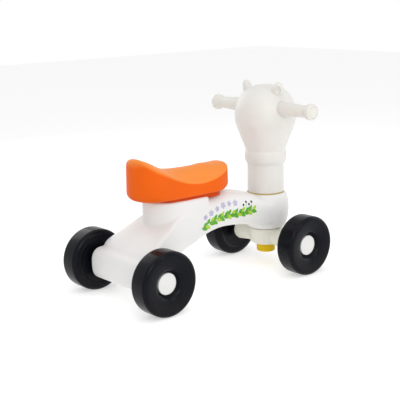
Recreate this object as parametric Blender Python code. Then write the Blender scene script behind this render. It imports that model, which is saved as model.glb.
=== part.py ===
"""Ride-on sheep: a four-wheeled foot-to-floor toy for a toddler.

A blow-moulded body carries a saddle, a cross axle at the rear and an upright boss at the front.
The sheep's head is the steering: head, handles, column and front yoke turn as one about the
upright axis through the boss, and all four wheels roll on steel axles.

Frame: +X forward, +Y to the toy's left, +Z up, origin on the floor under the middle of the
overall length. Heights of the body and head are counted from the line of the wheel axles,
and the steered pieces are placed from the steering axis.
"""

import math

import bmesh
import bpy
from mathutils import Matrix, Vector

# Fits
SEAT_GAP = 0.0003               # between two pieces that touch
AXLE_PLAY = 0.00006             # radial play of a rolling fit
COVER_PLAY = 0.0006             # round what spins inside a cover

# Stance
WHEELBASE = 0.404
TRACK = 0.245                   # between the mid planes of a pair of wheels
STEER_LIMIT = 35.0              # degrees each way

# Wheels
WHEEL_RADIUS = 0.0675
WHEEL_WIDTH = 0.048
TYRE_SHOULDER = 0.012           # height of the rounded edge of the tread
TYRE_SHOULDER_WIDTH = 0.010
RIM_WIDTH = 0.006               # side wall outside the dish
RIM_STEP = 0.0018               # small step at the start of the dish
DISH_DEPTH = 0.0122             # from the side wall to the hub cap's face
DISH_FLOOR_RADIUS = 0.0265
INNER_DISH_DEPTH = 0.014
HUB_RADIUS = 0.015
HUB_REACH = 0.0064              # of the hub past the wheel's inner side
WHEEL_SEGMENTS = 24

# Hub caps and axle nuts
HUB_CAP_RADIUS = 0.0224
HUB_CAP_HEIGHT = 0.0072
HUB_CAP_WALL = 0.0016
HUB_CAP_EDGE = 0.0010
NUT_RADIUS = 0.0090
NUT_HEIGHT = 0.0042
AXLE_RADIUS = 0.0040
AXLE_STANDOUT = 0.0030          # of the axle's end past the wheel's hub floor

# Axle bushes
BUSH_WALL = 0.0028
BUSH_FLANGE_RADIUS = 0.0130
BUSH_FLANGE = 0.0016
BUSH_LENGTH = 0.022

# Rear housing, round the rear axle
HOUSING_FRONT = 0.034
HOUSING_REAR = 0.0295
HOUSING_HEIGHT = 0.0335         # above and below the axle
HOUSING_EDGE = 0.0100
HOUSING_SQUARENESS = 2.4
HOUSING_SIDES = 20

# Body, heights above the axle line
DECK_HEIGHT = 0.1395            # where the saddle lies
BACK_HALF_WIDTH = 0.0450
HAUNCH_HALF_WIDTH = 0.0830
ARCH_HEIGHT = 0.0535            # of the belly's arch
SADDLE_BACK_HEIGHT = 0.1345     # of the back in front of the saddle
BODY_SIDES = 24

# Pedestal under the saddle
PEDESTAL_LENGTH = 0.1275
PEDESTAL_SETBACK = 0.0500       # from the saddle's rear end
PEDESTAL_REAR_CORNER = 0.030
PEDESTAL_FRONT_CORNER = 0.012
PEDESTAL_EDGE = 0.0085
PEDESTAL_DEPTH = 0.072

# Saddle
SEAT_LENGTH = 0.2475
SEAT_OFFSET = 0.0175            # of its rear end in front of the rear axle
SEAT_REAR_HALF_WIDTH = 0.0515
SEAT_FRONT_HALF_WIDTH = 0.0536
SEAT_REAR_ROUND = 0.048         # length of the rounded ends in plan
SEAT_FRONT_ROUND = 0.066
SEAT_LOW = 0.0542               # thickness at the lowest place of the middle line
SEAT_REAR_RISE = 0.0518         # of the rear end above that
SEAT_FRONT_RISE = 0.0203
SEAT_SIDE_LOW = 0.0293          # lowest height of the side walls
SEAT_SIDE_REAR_RISE = 0.0572
SEAT_SIDE_FRONT_RISE = 0.0285
SEAT_UNDER_REAR = 0.018         # rounding of the lower edge
SEAT_UNDER_FRONT = 0.009
SEAT_EDGE_REAR = 0.013          # rolled upper edge: wide behind, tight along the sides
SEAT_EDGE_SIDE = 0.0045
SEAT_EDGE_FRONT = 0.0070
SEAT_DRAFT = 0.0010             # lean of the side wall
SEAT_REAR_SQUARENESS = 2.0
SEAT_FRONT_SQUARENESS = 2.3

# Screws that hold the saddle, up through wells in the belly
WELL_RADIUS = 0.0085
WELL_SPACING = 0.070
WELL_ROOF = 0.012               # material between the well and the deck
SCREW_RADIUS = 0.0024
SCREW_BITE = 0.016              # of the screw in the saddle
SCREW_HEAD_RADIUS = 0.0055
SCREW_HEAD_HEIGHT = 0.0034

# Boss at the front of the body
BOSS_TOP = 0.1047
BOSS_BOTTOM = 0.0128
BOSS_TOP_RADIUS = 0.0440
BOSS_RADIUS = 0.0535
BOSS_WAIST = 0.0665             # height of the widest place
BOSS_FOOT_RADIUS = 0.0380
BOSS_SEGMENTS = 28

# Steering column and its bushes
COLUMN_RADIUS = 0.0125
COLUMN_REACH = 0.060            # into the head above the neck's foot
COLUMN_SEGMENTS = 24
SLEEVE_WALL = 0.0035
SLEEVE_LENGTH = 0.030
NECK_RING_RADIUS = 0.0418
NECK_RING_HEIGHT = 0.0020
LOWER_BUSH_FLANGE_RADIUS = 0.0225
LOWER_BUSH_FLANGE = 0.0022

# Steering stop: a lug on the yoke runs in a curved slot under the boss
STOP_RADIUS = 0.0290
STOP_WIDTH = 0.0050
STOP_HEIGHT = 0.0060
STOP_HALF_ANGLE = 9.0           # degrees
STOP_PLAY = 0.0010

# Front yoke
YOKE_HEIGHT = 0.0340            # from the yoke's foot to its top
YOKE_RADIUS = 0.0396
YOKE_FOOT_RADIUS = 0.0296
YOKE_ROUND = 0.004
ARM_RADIUS = 0.0225
ARM_EDGE = 0.0085
SWEEP_GAP = 0.0020              # between the arms and the boss above them

# Yellow end cap of the column
END_CAP_RADIUS = 0.0220
END_CAP_HEIGHT = 0.0145
END_CAP_FLOOR = 0.004
END_CAP_EDGE = 0.0025
END_CAP_RIM = 0.0012

# Head and neck
NECK_RADIUS = 0.0425
NECK_TOP_RADIUS = 0.0418
NECK_HEIGHT = 0.066
COLLAR_RADIUS = 0.0482
COLLAR_HEIGHT = 0.030
THROAT_RADIUS = 0.0450
SKULL_RADIUS = 0.0700
SKULL_RISE = 0.080              # of the skull's centre above the collar's top
NECK_BORE_EXTRA = 0.004         # of the neck's bore above the column's end
HEAD_SEGMENTS = 24

# Ears
EAR_SPREAD = 0.0535             # from the middle plane
EAR_SETBACK = 0.009
EAR_RISE = 0.0510               # of the ear's middle above the skull's centre
EAR_HALF_WIDTH = 0.0140
EAR_HALF_THICKNESS = 0.0090
EAR_HALF_HEIGHT = 0.0290
EAR_SPLAY = 12.0                # degrees

# Muzzle
MUZZLE_REACH = 0.0815           # in front of the steering axis
MUZZLE_LENGTH = 0.044           # half-length of its rounded form
MUZZLE_HALF_WIDTH = 0.0315
MUZZLE_HALF_HEIGHT = 0.0265
MUZZLE_DROP = 0.024             # below the skull's centre

# Eyes
EYE_RADIUS = 0.0075
EYE_BULGE = 0.0030
EYE_ROOT = 0.0040
EYE_SPREAD = 27.0               # degrees from straight ahead
EYE_LIFT = 14.0                 # degrees above the skull's centre

# Handles
HANDLE_SETBACK = 0.009
HANDLE_RISE = 0.0202            # above the skull's centre
HANDLE_HALF_SPAN = 0.1580
HANDLE_ROOT_RADIUS = 0.0165
HANDLE_TIP_RADIUS = 0.0132
HANDLE_SINK = 0.013             # of the handle in the head
KNOB_RADIUS = 0.0184
KNOB_LENGTH = 0.0215
KNOB_EDGE = 0.0055
PLUG_RADIUS = 0.0125
PLUG_DEPTH = 0.0040
ROD_RADIUS = 0.0050
ROD_STOP = 0.030                # from the rod's end to the handle's end
HANDLE_SEGMENTS = 16

# Screw that locks the neck on the column, on the front side
NECK_SCREW_HEIGHT = 0.022       # above the neck's foot
NECK_SCREW_RADIUS = 0.0022
NECK_SCREW_HEAD_RADIUS = 0.0050
NECK_SCREW_HEAD_HEIGHT = 0.0030
NECK_SCREW_SINK = 0.0012
NECK_SCREW_BITE = 0.0015        # of its point in the column

# Places worked out from the sizes above
REAR_X = -WHEELBASE / 2
FRONT_X = WHEELBASE / 2
HALF_WIDTH_OF_WHEEL = WHEEL_WIDTH / 2
WHEEL_Y = TRACK / 2
HUB_END_Y = WHEEL_Y - HALF_WIDTH_OF_WHEEL - HUB_REACH
BEARER_END_Y = HUB_END_Y - BUSH_FLANGE - 2 * SEAT_GAP
CAP_FACE = HALF_WIDTH_OF_WHEEL - DISH_DEPTH
CAP_FLOOR = CAP_FACE - HUB_CAP_HEIGHT
AXLE_END = CAP_FLOOR + AXLE_STANDOUT
FRONT_REACH = max(MUZZLE_REACH, WHEEL_RADIUS)
MIDDLE_X = (WHEEL_RADIUS - FRONT_REACH) / 2
BUSH_RADIUS = AXLE_RADIUS + AXLE_PLAY + BUSH_WALL
SLEEVE_BORE = (COLUMN_RADIUS + AXLE_PLAY) / math.cos(math.pi / COLUMN_SEGMENTS)
SLEEVE_RADIUS = SLEEVE_BORE + SLEEVE_WALL
BOSS_BORE = SLEEVE_RADIUS + SEAT_GAP
NECK_FOOT = BOSS_TOP + NECK_RING_HEIGHT + 2 * SEAT_GAP
COLLAR_FOOT = NECK_FOOT + NECK_HEIGHT
COLLAR_TOP = COLLAR_FOOT + COLLAR_HEIGHT
SKULL_Z = COLLAR_TOP + SKULL_RISE
HANDLE_Z = SKULL_Z + HANDLE_RISE
COLUMN_TOP = NECK_FOOT + COLUMN_REACH
YOKE_TOP = BOSS_BOTTOM - LOWER_BUSH_FLANGE / 2 - SEAT_GAP
YOKE_FOOT = YOKE_TOP - YOKE_HEIGHT
CAP_TOP = YOKE_FOOT - SEAT_GAP
CAP_FOOT = CAP_TOP - END_CAP_HEIGHT
SEAT_REAR_X = REAR_X + SEAT_OFFSET
SEAT_FRONT_X = SEAT_REAR_X + SEAT_LENGTH
SEAT_FOOT = DECK_HEIGHT + SEAT_GAP
PEDESTAL_REAR_X = SEAT_REAR_X + PEDESTAL_SETBACK
PEDESTAL_FRONT_X = PEDESTAL_REAR_X + PEDESTAL_LENGTH

SIDES = (("left", 1), ("right", -1))


# Small helpers

def clear_scene():
    for thing in list(bpy.data.objects):
        bpy.data.objects.remove(thing, do_unlink=True)


def plastic(name, colour, roughness, metallic=0.0):
    """A Principled material of one colour."""
    material = bpy.data.materials.get(name)
    if material is None:
        material = bpy.data.materials.new(name)
        material.use_nodes = True
        shader = material.node_tree.nodes["Principled BSDF"]
        shader.inputs["Base Color"].default_value = (*colour, 1.0)
        shader.inputs["Roughness"].default_value = roughness
        shader.inputs["Metallic"].default_value = metallic
        material.diffuse_color = (*colour, 1.0)
    return material


def white_plastic(name):
    return plastic(name, (0.80, 0.79, 0.76), 0.42)


def steel(name):
    return plastic(name, (0.55, 0.56, 0.58), 0.32, 1.0)


def empty(name, place, parent=None):
    """An empty that carries a group of pieces; its place is in its parent's frame."""
    holder = bpy.data.objects.new(name, None)
    holder.empty_display_size = 0.03
    holder.location = place
    holder.parent = parent
    bpy.context.scene.collection.objects.link(holder)
    return holder


def finish(name, bm, material, parent, place=(0, 0, 0), turn=(0, 0, 0), sharp=32):
    """Turn the bmesh into a smooth-shaded object of the given place under its parent."""
    bmesh.ops.recalc_face_normals(bm, faces=bm.faces)
    mesh = bpy.data.meshes.new(name)
    bm.to_mesh(mesh)
    bm.free()
    mesh.shade_smooth()
    mesh.set_sharp_from_angle(angle=math.radians(sharp))
    thing = bpy.data.objects.new(name, mesh)
    thing.location = place
    thing.rotation_euler = turn
    thing.parent = parent
    if material is not None:
        mesh.materials.append(material)
    bpy.context.scene.collection.objects.link(thing)
    return thing


def combine(target, tool, operation):
    """Leave an exact Boolean on the target; its tool is hidden and not a piece."""
    tool.hide_render = True
    tool.display_type = "WIRE"
    boolean = target.modifiers.new(f"{operation.lower()} {tool.name}", "BOOLEAN")
    boolean.operation = operation
    boolean.solver = "EXACT"
    boolean.object = tool


def arc(centre, radius, start, end, steps):
    """Points of an arc in a profile's plane, angles in degrees, ends included."""
    points = []
    for step in range(steps + 1):
        angle = math.radians(start + (end - start) * step / steps)
        points.append((centre[0] + radius * math.cos(angle), centre[1] + radius * math.sin(angle)))
    return points


def oval_arc(centre, reach, start, end, steps):
    """As arc, with a reach of its own in each direction."""
    points = []
    for step in range(steps + 1):
        angle = math.radians(start + (end - start) * step / steps)
        x = centre[0] + reach[0] * math.cos(angle)
        y = centre[1] + reach[1] * math.sin(angle)
        points.append((x, y))
    return points


def bridge(bm, lower, upper):
    """Faces between two rings; a ring of one vertex is a pole."""
    count = max(len(lower), len(upper))
    for k in range(count):
        n = (k + 1) % count
        if len(lower) == 1:
            bm.faces.new((lower[0], upper[k], upper[n]))
        elif len(upper) == 1:
            bm.faces.new((lower[k], lower[n], upper[0]))
        else:
            bm.faces.new((lower[k], lower[n], upper[n], upper[k]))


def turned(outline, segments, bored=False, flats=False):
    """A solid of revolution about Z from (radius, height) points.

    A bored outline is a closed loop clear of the axis; any other starts and ends on the axis,
    and a flat end there is one face. With flats the facets lie square to X and Y, and their
    middles on the stated radius.
    """
    bm = bmesh.new()
    half_step = math.pi / segments if flats else 0.0
    swell = 1 / math.cos(math.pi / segments) if flats else 1.0
    outline = list(outline)
    flat_foot = not bored and outline[0][1] == outline[1][1]
    flat_top = not bored and outline[-1][1] == outline[-2][1]
    if flat_foot:
        outline.pop(0)
    if flat_top:
        outline.pop()
    rings = []
    for radius, height in outline:
        if radius < 1e-7:
            rings.append([bm.verts.new((0, 0, height))])
            continue
        ring = []
        for k in range(segments):
            angle = 2 * math.pi * k / segments + half_step
            x = radius * swell * math.cos(angle)
            y = radius * swell * math.sin(angle)
            ring.append(bm.verts.new((x, y, height)))
        rings.append(ring)
    for lower, upper in zip(rings, rings[1:]):
        bridge(bm, lower, upper)
    if bored:
        bridge(bm, rings[-1], rings[0])
    if flat_foot:
        bm.faces.new(rings[0])
    if flat_top:
        bm.faces.new(rings[-1])
    return bm


def rod(radius, foot, top, segments):
    """A plain cylinder about Z."""
    return turned([(0, foot), (radius, foot), (radius, top), (0, top)], segments)


def lofted(sections):
    """A solid through closed sections of equal count, its two ends filled."""
    bm = bmesh.new()
    rings = [[bm.verts.new(point) for point in section] for section in sections]
    for lower, upper in zip(rings, rings[1:]):
        bridge(bm, lower, upper)
    bm.faces.new(rings[0])
    bm.faces.new(rings[-1])
    return bm


def superellipse(angle, squareness):
    """Unit superellipse: round at 2, squarer above."""
    c, s = math.cos(angle), math.sin(angle)
    power = 2 / squareness
    return math.copysign(abs(c) ** power, c), math.copysign(abs(s) ** power, s)


def guide(*points):
    """A smooth curve through (place, value) points, without overshoot between them."""
    places = [p for p, _ in points]
    values = [v for _, v in points]
    steps = [b - a for a, b in zip(places, places[1:])]
    slopes = [(b - a) / step for a, b, step in zip(values, values[1:], steps)]
    tangents = [slopes[0]]
    for before, after in zip(slopes, slopes[1:]):
        if before * after <= 0:
            tangents.append(0.0)
        else:
            tangents.append(2 * before * after / (before + after))
    tangents.append(slopes[-1])

    def value(place):
        if place <= places[0]:
            return values[0]
        if place >= places[-1]:
            return values[-1]
        k = max(i for i, p in enumerate(places) if p <= place)
        t = (place - places[k]) / steps[k]
        rise = (values[k], steps[k] * tangents[k], values[k + 1], steps[k] * tangents[k + 1])
        return (
            rise[0] * (2 * t**3 - 3 * t**2 + 1)
            + rise[1] * (t**3 - 2 * t**2 + t)
            + rise[2] * (3 * t**2 - 2 * t**3)
            + rise[3] * (t**3 - t**2)
        )

    return value


# Body

def body_guides():
    """Lengthwise curves of the body: crown, belly, half-width, widest height and squareness."""
    rear, front = REAR_X, FRONT_X
    slope_top = DECK_HEIGHT - 0.012
    crown = guide(
        (rear - 0.013, 0.0290), (rear, 0.0400), (rear + 0.032, 0.0655), (rear + 0.072, 0.0892),
        (rear + 0.112, 0.1130), (rear + 0.150, slope_top - 0.004), (rear + 0.190, slope_top + 0.004),
        (rear + 0.245, SADDLE_BACK_HEIGHT), (front - 0.136, SADDLE_BACK_HEIGHT - 0.004),
        (front - 0.082, SADDLE_BACK_HEIGHT - 0.015), (front - 0.060, BOSS_TOP + 0.0065),
        (front - 0.046, BOSS_TOP + 0.0005), (front - 0.040, BOSS_TOP - 0.0020),
        (front, BOSS_TOP - 0.004),
    )
    belly = guide(
        (rear - 0.013, -0.0255), (rear, -0.0300), (rear + 0.030, -0.0240), (rear + 0.072, -0.0080),
        (rear + 0.118, 0.0168), (rear + 0.155, 0.0300), (rear + 0.190, 0.0447),
        (front - 0.192, ARCH_HEIGHT - 0.0030), (front - 0.166, ARCH_HEIGHT),
        (front - 0.144, ARCH_HEIGHT - 0.0010), (front - 0.092, ARCH_HEIGHT - 0.0080),
        (front - 0.050, ARCH_HEIGHT - 0.0200), (front, ARCH_HEIGHT - 0.0280),
    )
    half_width = guide(
        (rear - 0.013, HAUNCH_HALF_WIDTH - 0.009), (rear + 0.006, HAUNCH_HALF_WIDTH),
        (rear + 0.024, HAUNCH_HALF_WIDTH - 0.009), (rear + 0.036, HAUNCH_HALF_WIDTH - 0.0145),
        (rear + 0.052, HAUNCH_HALF_WIDTH - 0.0170), (rear + 0.072, HAUNCH_HALF_WIDTH - 0.0200),
        (rear + 0.092, BACK_HALF_WIDTH + 0.0115), (rear + 0.112, BACK_HALF_WIDTH + 0.006),
        (rear + 0.132, BACK_HALF_WIDTH + 0.0022), (rear + 0.165, BACK_HALF_WIDTH),
        (front - 0.115, BACK_HALF_WIDTH),
        (front - 0.080, BACK_HALF_WIDTH + 0.0015), (front - 0.040, BACK_HALF_WIDTH + 0.0045),
        (front, BACK_HALF_WIDTH + 0.0055),
    )
    widest = guide(
        (rear - 0.013, 0.0080), (rear + 0.010, 0.0400), (rear + 0.032, 0.0540),
        (rear + 0.072, 0.0770), (rear + 0.112, 0.0960), (rear + 0.150, 0.0980),
        (rear + 0.200, 0.0920), (front - 0.140, 0.0880), (front - 0.080, 0.0800),
        (front, 0.0700),
    )
    upper_squareness = guide(
        (rear - 0.013, 3.2), (rear + 0.072, 3.4), (rear + 0.150, 2.6), (rear + 0.200, 2.3),
        (front - 0.080, 2.5), (front, 2.6),
    )
    return crown, belly, half_width, widest, upper_squareness


def body_section(x, guides):
    """Section of the body square to X: rounded back above the widest place, squarer belly."""
    crown, belly, half_width, widest, upper_squareness = (curve(x) for curve in guides)
    points = []
    for k in range(BODY_SIDES):
        angle = 2 * math.pi * k / BODY_SIDES
        upper = k <= BODY_SIDES // 2
        across, up = superellipse(angle, upper_squareness if upper else 4.5)
        reach = crown - widest if upper else widest - belly
        points.append(Vector((x, half_width * across, widest + reach * up)))
    return points


def make_body(frame):
    """Hollow-look body: haunched back, rear axle housing, pedestal and front boss as one."""
    guides = body_guides()
    rear_end, front_end = REAR_X - 0.013, FRONT_X - 0.012
    stations = 17
    sections = []
    for k in range(stations + 1):
        x = rear_end + (front_end - rear_end) * k / stations
        sections.append(body_section(x, guides))
    body = finish("body", lofted(sections), white_plastic("body_white"), frame, sharp=40)
    combine(body, make_housing(frame), "UNION")
    combine(body, make_pedestal(frame), "UNION")
    combine(body, make_boss(frame), "UNION")
    cut_body(body, frame)
    return body


def make_housing(frame):
    """Rounded cross housing for the rear axle, along Y, its rear a little flatter."""
    sections = []
    edge = [math.radians(90 - 30 * step) for step in range(4)]
    stations = [(-BEARER_END_Y + HOUSING_EDGE * (1 - math.sin(angle)),
                 HOUSING_EDGE * (1 - math.cos(angle))) for angle in edge]
    stations += [(-y, drawn_in) for y, drawn_in in reversed(stations)]
    for y, drawn_in in stations:
        section = []
        for k in range(HOUSING_SIDES):
            along, up = superellipse(2 * math.pi * k / HOUSING_SIDES, HOUSING_SQUARENESS)
            reach = HOUSING_FRONT if along > 0 else HOUSING_REAR
            x = REAR_X + (reach - drawn_in) * along
            section.append(Vector((x, y, (HOUSING_HEIGHT - drawn_in) * up)))
        sections.append(section)
    return finish("housing_form", lofted(sections), None, frame, sharp=40)


def pedestal_outline(inset):
    """Plan of the pedestal: wide rounded corners behind, tight ones in front."""
    half = BACK_HALF_WIDTH + 0.0004
    rear, front = PEDESTAL_REAR_X, PEDESTAL_FRONT_X
    outline = []
    corners = (
        (front - PEDESTAL_FRONT_CORNER, half - PEDESTAL_FRONT_CORNER, PEDESTAL_FRONT_CORNER, 0),
        (rear + PEDESTAL_REAR_CORNER, half - PEDESTAL_REAR_CORNER, PEDESTAL_REAR_CORNER, 90),
        (rear + PEDESTAL_REAR_CORNER, PEDESTAL_REAR_CORNER - half, PEDESTAL_REAR_CORNER, 180),
        (front - PEDESTAL_FRONT_CORNER, PEDESTAL_FRONT_CORNER - half, PEDESTAL_FRONT_CORNER, 270),
    )
    for x, y, radius, start in corners:
        outline += arc((x, y), radius - inset, start, start + 90, 4)
    return outline


def make_pedestal(frame):
    """Raised block that carries the saddle, its top edge well rounded."""
    sections = [[Vector((x, y, DECK_HEIGHT - PEDESTAL_DEPTH)) for x, y in pedestal_outline(0)]]
    for step in range(5):
        angle = math.radians(22.5 * step)
        inset = PEDESTAL_EDGE * (1 - math.cos(angle))
        z = DECK_HEIGHT - PEDESTAL_EDGE * (1 - math.sin(angle))
        sections.append([Vector((x, y, z)) for x, y in pedestal_outline(inset)])
    return finish("pedestal_form", lofted(sections), None, frame, sharp=40)


def make_boss(frame):
    """Barrel-shaped boss round the steering axis."""
    shoulder = BOSS_TOP - BOSS_WAIST
    outline = [(0, BOSS_BOTTOM)]
    outline += [(BOSS_FOOT_RADIUS - 0.0015, BOSS_BOTTOM), (BOSS_FOOT_RADIUS, BOSS_BOTTOM + 0.0025)]
    belly_reach = (BOSS_RADIUS - BOSS_FOOT_RADIUS, BOSS_WAIST - BOSS_BOTTOM - 0.0045)
    outline += oval_arc((BOSS_FOOT_RADIUS, BOSS_WAIST), belly_reach, -90, 0, 6)
    neck_reach = (BOSS_RADIUS - BOSS_TOP_RADIUS, shoulder)
    outline += oval_arc((BOSS_TOP_RADIUS, BOSS_WAIST), neck_reach, 0, 82, 4)[1:]
    outline += [(BOSS_TOP_RADIUS - 0.0006, BOSS_TOP), (0, BOSS_TOP)]
    return finish("boss_form", turned(outline, BOSS_SEGMENTS), None, frame, (FRONT_X, 0, 0))


def cut_body(body, frame):
    """Bores of the rear axle and the column, the stop's slot and the saddle's screw wells."""
    across = (math.pi / 2, 0, 0)
    width = BEARER_END_Y + 0.01
    bore = rod(BUSH_RADIUS + SEAT_GAP, -width, width, 16)
    combine(body, finish("axle_bore", bore, None, frame, (REAR_X, 0, 0), across), "DIFFERENCE")
    outline = [(0, BOSS_BOTTOM - 0.01), (LOWER_BUSH_FLANGE_RADIUS + SEAT_GAP, BOSS_BOTTOM - 0.01)]
    pocket_roof = BOSS_BOTTOM + LOWER_BUSH_FLANGE / 2 + SEAT_GAP
    outline += [(LOWER_BUSH_FLANGE_RADIUS + SEAT_GAP, pocket_roof), (BOSS_BORE, pocket_roof)]
    outline += [(BOSS_BORE, BOSS_TOP + 0.02), (0, BOSS_TOP + 0.02)]
    bore = turned(outline, COLUMN_SEGMENTS)
    bore = finish("column_bore", bore, None, frame, (FRONT_X, 0, 0))
    combine(body, bore, "DIFFERENCE")
    slot = curved_bar(STOP_RADIUS, STOP_WIDTH + 2 * STOP_PLAY, BOSS_BOTTOM - 0.01,
                      BOSS_BOTTOM + STOP_HEIGHT + STOP_PLAY, STEER_LIMIT + STOP_HALF_ANGLE + 1.5, 10)
    slot = finish("stop_slot", slot, None, frame, (FRONT_X, 0, 0))
    combine(body, slot, "DIFFERENCE")
    for name, x in well_places():
        well = rod(WELL_RADIUS, -0.05, DECK_HEIGHT - WELL_ROOF, 16)
        combine(body, finish(f"{name}_well", well, None, frame, (x, 0, 0)), "DIFFERENCE")
        hole = rod(SCREW_RADIUS + SEAT_GAP, 0, DECK_HEIGHT + 0.01, 12)
        combine(body, finish(f"{name}_hole", hole, None, frame, (x, 0, 0)), "DIFFERENCE")


def well_places():
    middle = (PEDESTAL_REAR_X + PEDESTAL_FRONT_X) / 2
    return (("rear_screw", middle - WELL_SPACING / 2), ("front_screw", middle + WELL_SPACING / 2))


def curved_bar(radius, width, foot, top, half_angle, steps):
    """A bar bent round Z, in front of the axis."""
    inner, outer = radius - width / 2, radius + width / 2
    sections = []
    for step in range(steps + 1):
        angle = math.radians(-half_angle + 2 * half_angle * step / steps)
        c, s = math.cos(angle), math.sin(angle)
        corners = ((inner, foot), (outer, foot), (outer, top), (inner, top))
        sections.append([Vector((r * c, r * s, z)) for r, z in corners])
    return lofted(sections)


# Saddle

def seat_height():
    """Height of the saddle's middle line above its flat underside."""
    rear, front, low = SEAT_REAR_X, SEAT_FRONT_X, SEAT_LOW
    return guide(
        (rear, low + SEAT_REAR_RISE - 0.0005), (rear + 0.010, low + SEAT_REAR_RISE),
        (rear + 0.022, low + 0.0395), (rear + 0.038, low + 0.0237), (rear + 0.060, low + 0.0132),
        (rear + 0.085, low + 0.0041), (rear + 0.115, low + 0.0013), (rear + 0.160, low),
        (front - 0.0415, low + 0.0029), (front - 0.0195, low + 0.0105),
        (front - 0.0075, low + 0.0163), (front, low + SEAT_FRONT_RISE),
    )


def seat_side_height():
    """Height of the top of the saddle's side walls above its underside."""
    rear, front, low = SEAT_REAR_X, SEAT_FRONT_X, SEAT_SIDE_LOW
    return guide(
        (rear, low + SEAT_SIDE_REAR_RISE), (rear + 0.010, low + SEAT_SIDE_REAR_RISE),
        (rear + 0.022, low + 0.0518), (rear + 0.038, low + 0.0415), (rear + 0.060, low + 0.0310),
        (rear + 0.085, low + 0.0165), (rear + 0.115, low + 0.0045), (rear + 0.150, low),
        (rear + 0.180, low + 0.0030), (front - 0.0415, low + 0.0093),
        (front - 0.0195, low + 0.0175), (front - 0.0075, low + 0.0238),
        (front, low + SEAT_SIDE_FRONT_RISE),
    )


def seat_edge():
    """Radius of the rolled edge between the side wall and the top."""
    rear, front = SEAT_REAR_X, SEAT_FRONT_X
    return guide(
        (rear, SEAT_EDGE_REAR), (rear + 0.050, SEAT_EDGE_REAR - 0.0045),
        (rear + 0.120, SEAT_EDGE_SIDE), (front - 0.050, SEAT_EDGE_SIDE), (front, SEAT_EDGE_FRONT),
    )


def seat_plan():
    """Edge points of the saddle in plan, each with the point of its middle line that it faces."""
    rear_line = SEAT_REAR_X + SEAT_REAR_ROUND
    front_line = SEAT_FRONT_X - SEAT_FRONT_ROUND
    points = []
    for k in range(8):
        angle = math.pi / 2 * k / 7
        along, across = superellipse(angle, SEAT_FRONT_SQUARENESS)
        x = front_line + SEAT_FRONT_ROUND * along
        points.append((x, SEAT_FRONT_HALF_WIDTH * across, front_line))
    for k in range(1, 7):
        share = k / 7
        x = front_line + (rear_line - front_line) * share
        blend = share * share * (3 - 2 * share)
        half = SEAT_FRONT_HALF_WIDTH + (SEAT_REAR_HALF_WIDTH - SEAT_FRONT_HALF_WIDTH) * blend
        points.append((x, half, x))
    for k in range(8):
        angle = math.pi / 2 * (1 + k / 7)
        along, across = superellipse(angle, SEAT_REAR_SQUARENESS)
        x = rear_line + SEAT_REAR_ROUND * along
        points.append((x, SEAT_REAR_HALF_WIDTH * across, rear_line))
    mirrored = [(x, -y, middle) for x, y, middle in reversed(points[1:-1])]
    return points + mirrored


def seat_ring(plan, inset, height_of):
    """One ring of the saddle: the plan drawn in by inset, each point raised by height_of."""
    ring = []
    for x, y, middle in plan:
        edge = Vector((x, y, 0))
        inward = Vector((middle, 0, 0)) - edge
        place = edge + inward.normalized() * inset(x)
        ring.append(Vector((place.x, place.y, height_of(x, place))))
    return ring


def make_seat(frame):
    """Moulded saddle: flat underside, rounded lower edge, side wall, crease and crowned top."""
    plan = seat_plan()
    height = seat_height()
    side = seat_side_height()
    roll = seat_edge()

    def under(x):
        share = (x - SEAT_REAR_X) / SEAT_LENGTH
        return SEAT_UNDER_REAR + (SEAT_UNDER_FRONT - SEAT_UNDER_REAR) * share

    sections = []
    for step in range(4):
        angle = math.radians(30 * step)
        sections.append(seat_ring(
            plan,
            lambda x, a=angle: under(x) * (1 - math.sin(a)),
            lambda x, place, a=angle: under(x) * (1 - math.cos(a)),
        ))
    for step in range(3):
        angle = math.radians(30 * step)
        sections.append(seat_ring(
            plan,
            lambda x, a=angle: SEAT_DRAFT + roll(x) * (1 - math.cos(a)),
            lambda x, place, a=angle: side(place.x) - roll(x) * (1 - math.sin(a)),
        ))
    for share in (0.0, 0.30, 0.65, 0.95):
        ring = []
        for x, y, middle in plan:
            edge = Vector((x, y, 0))
            inward = Vector((middle, 0, 0)) - edge
            start = edge + inward.normalized() * (SEAT_DRAFT + roll(x) * 0.8)
            place = start.lerp(Vector((middle, 0, 0)), share)
            crown = height(place.x) - side(place.x)
            z = height(place.x) - crown * (1 - share) ** 2
            ring.append(Vector((place.x, place.y, z)))
        sections.append(ring)
    bm = bmesh.new()
    rings = [[bm.verts.new(point) for point in section] for section in sections]
    for lower, upper in zip(rings, rings[1:]):
        bridge(bm, lower, upper)
    bm.faces.new(rings[0])
    close_along_middle(bm, rings[-1])
    seat = finish("seat", bm, plastic("seat_orange", (0.90, 0.20, 0.03), 0.35), frame,
                  (0, 0, SEAT_FOOT), sharp=40)
    for name, x in well_places():
        hole = rod(SCREW_RADIUS + SEAT_GAP, -0.01, SCREW_BITE + SEAT_GAP, 12)
        hole = finish(f"{name}_seat_hole", hole, None, frame, (x, 0, SEAT_FOOT))
        combine(seat, hole, "DIFFERENCE")
    return seat


def close_along_middle(bm, ring):
    """Fill a ring that is symmetric about Y = 0 with strips from side to side."""
    count = len(ring)
    half = count // 2
    for k in range(half):
        left, next_left = ring[k], ring[k + 1]
        right, next_right = ring[-k % count], ring[-(k + 1) % count]
        corners = []
        for corner in (left, next_left, next_right, right):
            if corner not in corners:
                corners.append(corner)
        bm.faces.new(corners)


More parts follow.
